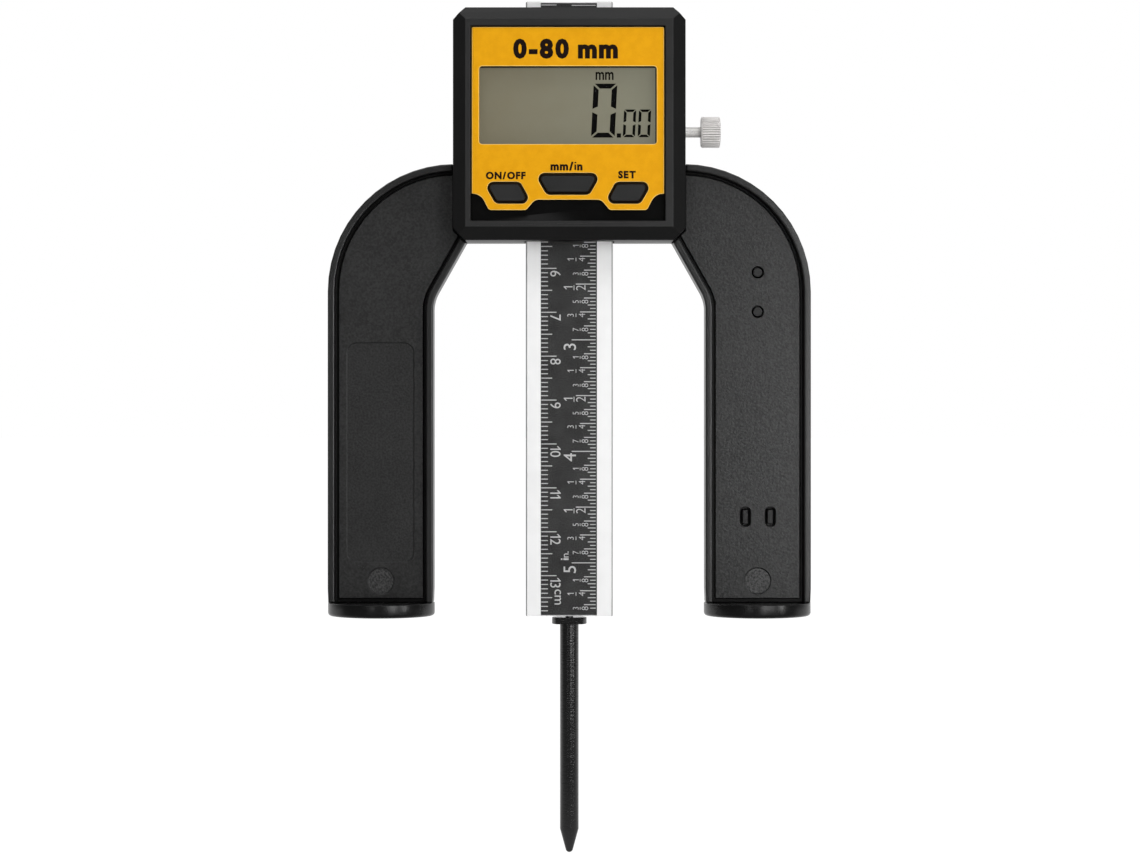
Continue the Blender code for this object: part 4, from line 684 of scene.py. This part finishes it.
def printed_sheet(name, deep, light, roughness):
    """A printed sheet that is faintly blotched, with a fine grain."""
    material, shader, place = principled(name, Specular_IOR_Level=0.1)
    blotch = place.noise(BLOTCH, BLOTCH_DETAIL)
    fine = place.noise(PLATE_GRAIN, FINE_DETAIL)
    blend = (blotch * BLOTCH_SHARE + fine * (1 - BLOTCH_SHARE)).spread(PLATE_LOW, PLATE_HIGH)
    feed(shader, Base_Color=blend.mix(deep, light), Normal=fine.bump(PLATE_DEPTH),
         Roughness=roughness - PLATE_SWING + blotch * (2 * PLATE_SWING))
    return material


plate_yellow = printed_sheet("plate_yellow", tone(219, 154, 4), tone(225, 160, 8), 0.5)
# A pale yellow for the rounded edges: a painted highlight.
plate_edge_highlight = printed_sheet("plate_edge_highlight", tone(246, 200, 104), tone(250, 208, 116), 0.4)
# A dark brown for the cut walls: painted shade of the gaps.
plate_wall_shade = printed_sheet("plate_wall_shade", tone(34, 14, 4), tone(46, 20, 6), 0.6)


def plate_face(face):
    """0 front and back, 2 the cut walls, which are painted dark as shade."""
    return 0 if abs(face.normal.y) > FLAT_ON else 2


plate_finishes = [plate_yellow, plate_edge_highlight, plate_wall_shade]
softened("faceplate", PLATE_ROUNDING, plate_finishes, plate_face, edge_material=1)
# The keys' rounded rims take the dark brown, which is painted shade.
for side in ("left", "middle", "right"):
    softened("button_" + side, KEY_ROUNDING, [key_rubber, key_edge_shade], edge_material=1)
print("faceplate:", [round(value / MM, 1) for value in plate_high - plate_low])

# %% [markdown]
# ## Flat marks
# Ticks, letters and display segments are print, and print has hardly any thickness. It could be a
# picture laid on the face, but that blurs from near by, and this script reads none. So each mark is
# a flat plate a hundredth of a millimetre thick. The plates are collected as corner lists, and one
# mesh is made of each set.

# %% Plates
PRINT = 0.012 * MM
LETTER_GAP = 0.08
WORD_GAP = 0.2


class Plates:
    """A set of flat plates that face the front and become one mesh."""

    def __init__(self, front, thickness=PRINT):
        self.front = front
        self.back = front + thickness
        self.points = []
        self.faces = []

    def plate(self, corners):
        """A plate with these corners, each an x and a z."""
        first = len(self.points)
        count = len(corners)
        for depth in (self.front, self.back):
            self.points += [(x, depth, z) for x, z in corners]
        ring = list(range(first, first + count))
        self.faces.append(ring)
        self.faces.append([number + count for number in reversed(ring)])
        for here in range(count):
            there = (here + 1) % count
            self.faces.append([ring[there], ring[here], ring[here] + count, ring[there] + count])

    def bar(self, x_low, x_high, z_low, z_high):
        """An upright rectangle."""
        self.plate([(x_low, z_low), (x_high, z_low), (x_high, z_high), (x_low, z_high)])

    def letters(self, text, height, x, z, turn=0, centred=False, squeeze=1.0, weight=0.0):
        """Letters of one height whose baseline starts at x and z, turned about that point."""
        forms = [letter_form(sign, weight) for sign in text]
        size = height / max(point[1] for points, faces in forms for point in points)
        starts = [0]
        for points, faces in forms:
            wide = max((point[0] for point in points), default=WORD_GAP)
            starts.append(starts[-1] + wide + LETTER_GAP)
        whole = (starts[-1] - LETTER_GAP) * size * squeeze
        shift = -whole / 2 if centred else 0
        for (points, faces), start in zip(forms, starts):
            first = len(self.points)
            for along, up, deep in points:
                across = (start + along) * size * squeeze + shift
                rise = up * size
                self.points.append((x + across * cos(turn) - rise * sin(turn),
                                    self.front if deep > 0 else self.back,
                                    z + across * sin(turn) + rise * cos(turn)))
            self.faces += [[first + corner for corner in face] for face in faces]

    def make(self, name, body, material):
        """One piece of all the plates."""
        mesh = bpy.data.meshes.new(name)
        mesh.from_pydata(self.points, [], self.faces)
        form = bmesh.new()
        form.from_mesh(mesh)
        bmesh.ops.recalc_face_normals(form, faces=form.faces)
        form.to_mesh(mesh)
        form.free()
        print(name + ":", len(mesh.polygons), "faces")
        show(name, mesh, body, [material])


# %% Letter forms
FONT_DEPTH = 0.1
FONT_STEPS = 3
ONE = [(0.17, 0), (0.26, 0), (0.26, 0.7), (0.2, 0.7), (0, 0.53), (0, 0.44), (0.17, 0.57)]
STEM = [(0, 0), (0.16, 0), (0.16, 0.49), (0, 0.49)]
DOT = [(0, 0.59), (0.16, 0.59), (0.16, 0.73), (0, 0.73)]
DRAWN = {"1": [ONE], "i": [STEM, DOT]}
known_letters = {}


def font_form(sign, weight):
    """Corners and faces of a sign in the built-in font, from its own left end and baseline."""
    curve = bpy.data.curves.new("letters", "FONT")
    curve.body = sign
    curve.extrude = FONT_DEPTH
    curve.offset = weight
    curve.resolution_u = FONT_STEPS
    holder = bpy.data.objects.new("letters", curve)
    bpy.context.scene.collection.objects.link(holder)
    graph = bpy.context.evaluated_depsgraph_get()
    mesh = bpy.data.meshes.new_from_object(holder.evaluated_get(graph))
    start = min((vertex.co.x for vertex in mesh.vertices), default=0)
    points = [(vertex.co.x - start, vertex.co.y, vertex.co.z) for vertex in mesh.vertices]
    faces = [list(face.vertices) for face in mesh.polygons]
    bpy.data.objects.remove(holder)
    bpy.data.curves.remove(curve)
    bpy.data.meshes.remove(mesh)
    return points, faces


def drawn_form(outlines):
    """A sign drawn here: the built-in 1 is a bare bar, and the bold i loses its dot."""
    points = []
    faces = []
    for outline in outlines:
        count = len(outline)
        ring = list(range(len(points), len(points) + count))
        points += [(across, up, deep) for deep in (1, -1) for across, up in outline]
        faces += [ring, [number + count for number in reversed(ring)]]
        for here, there in zip(ring, ring[1:] + ring[:1]):
            faces.append([there, here, here + count, there + count])
    return points, faces


def letter_form(sign, weight):
    """The form of one sign, made once."""
    key = (sign, weight)
    if key not in known_letters:
        known_letters[key] = drawn_form(DRAWN[sign]) if sign in DRAWN else font_form(sign, weight)
    return known_letters[key]


print("signs drawn here:", sorted(DRAWN))

# %% [markdown]
# ## The scale
# A dark strip is let into the beam. Its left edge counts millimetres and centimetres, its right
# edge inches down to thirty-seconds, and the numbers are turned to read along the beam. Every tick
# could be placed by eye, but a scale is a rule: a tick's place and reach follow from its number.
# So two loops draw it, from a zero near the beam's top down to the strip's end.

# %% Scale strip
STRIP_SPECK = 0.22 * MM
STRIP_CLOUD = 5 * MM
STRIP_DEPTH = 0.002 * MM
SPECK_SHARE = 0.7
STRIP_LOW = 0.38
STRIP_HIGH = 0.62
STRIP_ROUGHNESS = 0.4
STRIP_SWING = 0.1
STRIP_ROUNDING = 0.04 * MM


def scale_print(name, dark, light):
    """Print that is worn to fine specks."""
    material, shader, place = principled(name, Specular_IOR_Level=0.4)
    speck = place.noise(STRIP_SPECK, FINE_DETAIL)
    cloud = place.noise(STRIP_CLOUD)
    blend = (speck * SPECK_SHARE + cloud * (1 - SPECK_SHARE)).spread(STRIP_LOW, STRIP_HIGH)
    feed(shader, Base_Color=blend.mix(dark, light), Normal=speck.bump(STRIP_DEPTH),
         Roughness=STRIP_ROUGHNESS + cloud * STRIP_SWING)
    return material


strip_dark = scale_print("strip_dark", tone(18), tone(57))
mark_pale = scale_print("mark_pale", tone(176), tone(196))
softened("scale_strip", STRIP_ROUNDING, [strip_dark], segments=2)
print("strip:", round((strip_high.z - strip_low.z) / MM, 1), "mm long")

# %% Centimetre side
ZERO = 193.25 * MM
LOWEST = strip_low.z + 0.8 * MM
LINE = 0.21 * MM
LEFT_TICKS = strip_low.x + 0.08 * MM
CM_REACH = 3.5 * MM
HALF_REACH = 2.52 * MM
MM_REACH = 1.56 * MM
CM_HEIGHT = 2.38 * MM
CM_BASE = -4.33 * MM
CM_DROP = 0.53 * MM
CM_SQUEEZE = 0.92
# The height of a word's letters, then the x and z at which it starts.
CM_WORD = (1.45 * MM, -3.35 * MM, 60.13 * MM)
QUARTER_TURN = pi / 2
marks = Plates(strip_low.y - PRINT)

count = 0
while ZERO - count * MM > LOWEST:
    height = ZERO - count * MM
    reach = CM_REACH if count % 10 == 0 else HALF_REACH if count % 5 == 0 else MM_REACH
    marks.bar(LEFT_TICKS, LEFT_TICKS + reach, height - LINE / 2, height + LINE / 2)
    if count % 10 == 0:
        marks.letters(str(count // 10), CM_HEIGHT, CM_BASE, height - CM_DROP, -QUARTER_TURN,
                      squeeze=CM_SQUEEZE)
    count += 1
marks.letters("cm", *CM_WORD, -QUARTER_TURN)
print("millimetre ticks:", count)

# %% Inch side
INCH = 25.4 * MM
INCH_PARTS = 32
INCH_ZERO = 193.17 * MM
RIGHT_TICKS = strip_high.x - 0.3 * MM
# A tick's reach in millimetres, by the most thirty-seconds that its place is a multiple of.
INCH_REACH = {32: 5.45, 16: 4.5, 8: 3.55, 4: 2.65, 2: 1.8, 1: 1.25}
INCH_HEIGHT = 2.8 * MM
INCH_BASE = 1.5 * MM
INCH_DROP = 2.3 * MM
INCH_WORD = (1.74 * MM, -0.16 * MM, 66.82 * MM)
THIN = 0.14 * MM
THINNER = -0.012
NARROWER = 0.9
# For halves, quarters and eighths: how far below its tick a fraction's middle is, then the height
# and baseline of its upper number, the place and length of its bar, and the lower number's two.
FRACTIONS = {16: (0.83, 2.0, 0.73, 1.07, 1.15, 2.15, 3.71),
             8: (0.75, 1.45, 1.02, 1.52, 0.8, 1.5, 3.63),
             4: (0.83, 1.33, 2.14, 2.47, 0.6, 1.53, 4.33)}


def fraction(over, under, tick, sizes):
    """A fraction beside its tick: a number, a bar and a number, turned to read along the beam."""
    sizes = [size * MM for size in sizes]
    drop, upper, upper_base, bar_place, bar_length, lower, lower_base = sizes
    middle = tick - drop
    for number, tall, base in ((over, upper, upper_base), (under, lower, lower_base)):
        marks.letters(str(number), tall, base, middle, QUARTER_TURN, True, NARROWER, THINNER)
    marks.bar(bar_place - THIN / 2, bar_place + THIN / 2,
              middle - bar_length / 2, middle + bar_length / 2)


step = 0
while INCH_ZERO - step * INCH / INCH_PARTS > LOWEST:
    height = INCH_ZERO - step * INCH / INCH_PARTS
    part = next(size for size in INCH_REACH if step % size == 0)
    marks.bar(RIGHT_TICKS - INCH_REACH[part] * MM, RIGHT_TICKS,
              height - LINE / 2, height + LINE / 2)
    if part == INCH_PARTS:
        whole_inches = str(step // INCH_PARTS)
        marks.letters(whole_inches, INCH_HEIGHT, INCH_BASE, height - INCH_DROP, QUARTER_TURN)
    if part in FRACTIONS:
        fraction(step % INCH_PARTS // part, INCH_PARTS // part, height, FRACTIONS[part])
    step += 1
marks.letters("in.", *INCH_WORD, QUARTER_TURN)
marks.make("scale_marks", "beam", mark_pale)
print("inch ticks:", step)

# %% [markdown]
# ## The display
# A liquid crystal display is a grey-olive glass with near-black segments on it. Here its grey also
# glows, a painted light, though a display is no lamp, so that the shade of the window's walls on it
# stays faint. Each digit is seven bars with mitred ends, leaning a little, with thin light gaps
# between them. A font has no such gaps, so the bars are drawn as plates. A black frame lies in
# front of the glass as a painted shadow, the dark line under the window's top and right edges, and
# the clear window before that is almost nothing but a faint gloss.

# %% Display glass
# The display's grey is also its own emission: painted light.
PAINTED_GLOW = 1.35
DISPLAY_WIDE = 40 * MM
DISPLAY_MOTTLE = 5 * MM
ACROSS_SHARE = 0.8
MOTTLE_SHARE = 0.4
GREY_LOW = 0.2
GREY_HIGH = 0.9


def display_grey():
    """A grey that is a little paler on the right, and faintly mottled. It also glows with that
    grey, a painted light.
    """
    material, shader, place = principled("display_grey", Specular_IOR_Level=0.15, Roughness=0.35,
                                         Emission_Strength=PAINTED_GLOW)
    across = place.along("X") * (1 / DISPLAY_WIDE) + 0.5
    mottle = place.noise(DISPLAY_MOTTLE, FINE_DETAIL)
    share = across * ACROSS_SHARE + mottle * MOTTLE_SHARE
    colour = share.spread(GREY_LOW, GREY_HIGH).mix(tone(82, 78, 64), tone(88, 87, 75))
    feed(shader, Base_Color=colour, Emission_Color=colour)
    return material


nodes["display_glass"].data.materials.clear()
nodes["display_glass"].data.materials.append(display_grey())
glass_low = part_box("display_glass")[0]
print("display glass lies", round((glass_low.y - plate_low.y) / MM, 2),
      "mm behind the faceplate's front")

# %% Display digits
SLANT = tan(radians(2.85))
DIGIT_LIFT = 0.03 * MM
DIGIT_THICKNESS = 0.02 * MM
GAP = 0.21
WAIST = 0.32
MITRE = 0.26
SIDE_SLOPE = 2.4
SIDE_START = 1.4
# For each digit in millimetres: its x and z, its width and height, its upright and level bars.
DIGITS = ((4.91, 162.57, 5.35, 12.19, 1.2, 1.1),
          (12.08, 162.66, 2.76, 6.26, 0.62, 0.56),
          (15.45, 162.66, 2.76, 6.26, 0.62, 0.56))
POINT = (10.74 * MM, 11.7 * MM, 162.56 * MM, 163.52 * MM)
UNIT = (1.75 * MM, 5.94 * MM, 175.68 * MM)
UNIT_SQUEEZE = 0.76
UNIT_WEIGHT = 0.02
segment_ink = moulded("segment_ink", tone(5, 5, 4), tone(8, 7, 6), 0.5, 0.05, 0.3 * MM, 0.001 * MM)
digits = Plates(glass_low.y - DIGIT_LIFT, DIGIT_THICKNESS)


def leaning(corners, x, z):
    """Corners of a sign at a place, each pushed right by its height."""
    return [(x + across + rise * SLANT, z + rise) for across, rise in corners]


def digit_zero(x, z, wide, tall, upright, level):
    """The six outer segments of a seven-segment digit. Shares are of the upright bars' width."""
    gap = GAP * upright
    waist = WAIST * upright
    mitre = level + MITRE * upright
    inner = upright + gap
    top = [(gap, tall), (inner, tall - level), (wide - inner, tall - level), (wide - gap, tall)]
    side = [(0, tall / 2 + waist), (upright, tall / 2 + SIDE_SLOPE * waist),
            (upright, tall - mitre), (0, tall - SIDE_START * gap)]
    forms = [top, [(across, tall - rise) for across, rise in top]]
    for corners in (side, [(wide - across, rise) for across, rise in side]):
        forms.append(corners)
        forms.append([(across, tall - rise) for across, rise in corners])
    for corners in forms:
        digits.plate(leaning(corners, x, z))


for sizes in DIGITS:
    digit_zero(*[size * MM for size in sizes])
digits.bar(*POINT)
digits.letters("mm", *UNIT, squeeze=UNIT_SQUEEZE, weight=UNIT_WEIGHT)
digits.make("display_digits", "stand", segment_ink)

# %% Dark frame round the display, a painted shadow
WINDOW = (-20.26 * MM, 19.66 * MM, 160.76 * MM, 178.3 * MM)
GASKET_WIDTH = 0.9 * MM
GASKET_LIP = 0.2 * MM
GASKET_FRONT_PLAY = 0.02 * MM
GASKET_BACK_PLAY = 0.04 * MM
window_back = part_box("display_window")[1].y


def gasket():
    """A black frame between the window and the display, put there as a painted shadow: a dark line
    under the top edge, and along the right edge where its lip reaches in.
    """
    left, right, foot, top = WINDOW
    front = window_back + GASKET_FRONT_PLAY
    rubber = Plates(front, glass_low.y - GASKET_BACK_PLAY - front)
    rubber.bar(left - GASKET_WIDTH, right + GASKET_WIDTH, top, top + GASKET_WIDTH)
    rubber.bar(left - GASKET_WIDTH, right + GASKET_WIDTH, foot - GASKET_WIDTH, foot)
    rubber.bar(left - GASKET_WIDTH, left, foot, top)
    # On the right its lip reaches into the window, a painted shadow line there.
    rubber.bar(right - GASKET_LIP, right + GASKET_WIDTH, foot, top)
    rubber.make("display_shadow_frame", "stand", head_floor)


gasket()

# %% Window over the display
WINDOW_HAZE = 4 * MM
WINDOW_ALPHA = 0.005
WINDOW_ROUGHNESS = 0.05


def clear_acrylic():
    """A thin and clean window, here and there a little hazier."""
    material, shader, place = principled("clear_acrylic", Base_Color=tone(60),
                                         Specular_IOR_Level=0.2)
    haze = place.noise(WINDOW_HAZE, FINE_DETAIL)
    feed(shader, Alpha=haze * (2 * WINDOW_ALPHA) + WINDOW_ALPHA,
         Roughness=haze * WINDOW_ROUGHNESS + WINDOW_ROUGHNESS)
    return material


nodes["display_window"].data.materials.clear()
nodes["display_window"].data.materials.append(clear_acrylic())
print("window lies", round((window_back - plate_low.y) / MM, 2), "mm behind the faceplate's front")

# %% [markdown]
# ## Print on the faceplate
# The plate carries plain words only: its range above the window and a label by each key. They are
# the built-in font, a little bolder, which is near enough to the round letters of such gauges.

# %% Faceplate print
BOLD = 0.055
# For each label: its words, then the height, middle and baseline in millimetres.
LABELS = (("0-80 mm", 4.2, -0.85, 180.3),
          ("ON/OFF", 1.6, -14.3, 152.95),
          ("mm/in", 1.85, -0.63, 154.95),
          ("SET", 1.6, 12.98, 153.15))
plate_ink = moulded("plate_ink", tone(20, 8, 4), tone(27, 12, 6), 0.5, 0.1, 0.3 * MM, 0.001 * MM)
labels = Plates(plate_low.y - PRINT)
for words, *sizes in LABELS:
    labels.letters(words, *[size * MM for size in sizes], centred=True, weight=BOLD)
labels.make("plate_labels", "stand", plate_ink)

# %% [markdown]
# ## The pieces inside and behind
# Circuit board, battery, screws, magnets and springs show only when the gauge is opened or turned
# over. They could be remade as the outer pieces are, but their plain forms are right already, so
# these nodes keep their solids and get a finish by the record's material slots.

# %% Finish the other nodes
finish_of_slot = {
    "stand_plastic": stand_side, "magnet": magnet_iron, "black_metal": black_steel,
    "head_plastic": head_back, "inner_plastic": inner_plastic, "contact_rubber": contact_rubber,
    "circuit_board": circuit_green, "satin_steel": plain_steel, "nickel": nickel, "brass": brass,
    "key_rubber": key_rubber, "face_plate": plate_yellow, "scale_print": strip_dark,
}
for subpart in frame["record"]["subparts"]:
    if subpart["material_slot"] in finish_of_slot:
        slots = nodes[subpart["node"]].data.materials
        slots.clear()
        slots.append(finish_of_slot[subpart["material_slot"]])
print("slots with a finish:", len(finish_of_slot))

# %% [markdown]
# ## Room and lamps
# The gauge stands in a white room. A room that is white all round would turn black gloss grey, so
# in reflections it darkens towards the camera's side, as a studio does. Rays straight from the
# camera, and those through the clear window, find plain white. Narrow lamps near eye level draw
# light lines on upright rounded edges, and one of them is close by on the right, so that the right
# leg is lighter than the left. One from above and one from behind light the rest.

# %% World
AMBIENT = 0.46
FRONT_SHEEN = 0.1
SHEEN_BACK = 1.5
SHEEN_UP = 0.9
SHEEN_START = 0.4
world = bpy.data.worlds.new("white_room")
bpy.context.scene.world = world
world.use_nodes = True
room = Wire(world.node_tree)
direction = room.node("ShaderNodeTexCoord", out="Generated")
sheen = direction.along("Y") * SHEEN_BACK + direction.along("Z") * SHEEN_UP - SHEEN_START
reflected = sheen.ramp((0, FRONT_SHEEN), (1, 1))
seen = room.ray("Camera").either(room.ray("Transmission"))
scattered = seen * (1 - AMBIENT) + AMBIENT
level = room.ray("Glossy") * (reflected - scattered) + scattered
background = world.node_tree.nodes["Background"]
background.inputs["Color"].default_value = (1, 1, 1, 1)
world.node_tree.links.new(level.socket, background.inputs["Strength"])
print("room's light on rough surfaces:", AMBIENT)

# %% Lamps
EYE_LEVEL = 97 * MM
CENTRE = Vector((0, 0, EYE_LEVEL))
WATTS_FOR_RADIANCE = pi
# For each lamp: azimuth and elevation, distance, width, height, and how bright its face looks.
# Azimuth 0 is the camera's side, and 90 the right. Distances and sizes are in metres.
LAMPS = {"soft": (26, 5, 1.5, 0.5, 1.0, 3.0),
         "near": (20, 0, 0.27, 0.02, 0.14, 8),
         "fill": (-18, 5, 1.1, 0.05, 0.7, 5),
         "edge": (52, 4, 1.1, 0.08, 0.8, 14),
         "top": (0, 55, 1.0, 0.8, 0.3, 3),
         "back": (205, 30, 1.3, 0.6, 0.6, 2.5)}


def lamp(name, azimuth, elevation, distance, width, height, radiance):
    """A soft lamp that faces the gauge."""
    light = bpy.data.lights.new(name, "AREA")
    light.shape = "RECTANGLE"
    light.size = width
    light.size_y = height
    light.energy = WATTS_FOR_RADIANCE * width * height * radiance
    flat = distance * cos(radians(elevation))
    place = CENTRE + Vector((flat * sin(radians(azimuth)), -flat * cos(radians(azimuth)),
                             distance * sin(radians(elevation))))
    holder = bpy.data.objects.new(name, light)
    bpy.context.scene.collection.objects.link(holder)
    holder.location = place
    holder.rotation_euler = (CENTRE - place).to_track_quat("-Z", "Y").to_euler()
    return light.energy


watts = [lamp("lamp_" + name, *values) for name, values in LAMPS.items()]
print("lamps:", len(watts), "watts:", round(sum(watts), 2))

# %% [markdown]
# ## Floor
# The floor is a wide pale sheet that the camera sees as white. It could be lit until it clips, but
# then so would the beam, so most of what the camera sees of it is plain white light of its own,
# mixed with a pale surface that still takes the gauge's shadow. In reflections it is dark in front
# of the gauge and white behind it, as the room is.

# %% Floor
FLOOR_SIZE = 25
FLOOR_DROP = 0.3 * MM
FLOOR_GRAIN = 3 * MM
FLOOR_BLEND = 100 * MM
FLOOR_GLOW = 0.85
WHITE = 1.12


def floor_white():
    """White to the camera, with shadows, and dark in front of the gauge to reflections."""
    material, shader, place = principled("floor_white", Roughness=0.8, Specular_IOR_Level=0.1)
    fine = place.noise(FLOOR_GRAIN, FINE_DETAIL)
    feed(shader, Base_Color=fine.mix(tone(252), tone(255)))
    glossy = place.ray("Glossy")
    seen = place.ray("Camera").either(glossy.either(place.ray("Transmission")))
    behind = place.along("Y") * (1 / FLOOR_BLEND) + 0.5
    reflected = behind.ramp((0, FRONT_SHEEN), (1, 1))
    level = glossy * (reflected - WHITE) + WHITE
    white = place.node("ShaderNodeEmission", {"Color": (1, 1, 1, 1), "Strength": level})
    pale = Wire(place.tree, shader.outputs[0])
    blend = place.node("ShaderNodeMixShader", {0: seen * FLOOR_GLOW, 1: pale, 2: white})
    place.tree.links.new(blend.socket, place.tree.nodes["Material Output"].inputs["Surface"])
    return material


floor_mesh = bpy.data.meshes.new("floor")
quarters = ((-1, -1), (1, -1), (1, 1), (-1, 1))
corners = [(x * FLOOR_SIZE, y * FLOOR_SIZE, -FLOOR_DROP) for x, y in quarters]
floor_mesh.from_pydata(corners, [], [(0, 1, 2, 3)])
floor_mesh.materials.append(floor_white())
floor = bpy.data.objects.new("floor", floor_mesh)
bpy.context.scene.collection.objects.link(floor)
print("floor:", 2 * FLOOR_SIZE, "m wide")

# %% [markdown]
# ## Camera
# The photograph looks square on, from a little over half a metre. How far could be guessed, but its
# own scale tells: the marks on the beam give the pixels of a millimetre at the beam's face, and
# the legs and the head, nearer and further, give the distance. The lens follows from the two.

# %% Camera
PHOTO_WIDTH = 1140
PHOTO_SCALE = 4.39
SENSOR = 36
SIGHT = 645 * MM
CAMERA_RIGHT = 0.16 * MM
NEAREST = 0.05
FURTHEST = 60
BEAM_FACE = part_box("beam")[0].y
camera_data = bpy.data.cameras.new("camera")
camera_data.sensor_width = SENSOR
camera_data.lens = SENSOR * SIGHT / (PHOTO_WIDTH / PHOTO_SCALE * MM)
camera_data.clip_start = NEAREST
camera_data.clip_end = FURTHEST
camera = bpy.data.objects.new("camera", camera_data)
bpy.context.scene.collection.objects.link(camera)
camera.location = (CAMERA_RIGHT, BEAM_FACE - SIGHT, EYE_LEVEL)
camera.rotation_euler = (pi / 2, 0, 0)
bpy.context.scene.camera = camera
bpy.context.scene.view_settings.view_transform = "Standard"
print("lens:", round(camera_data.lens, 2))
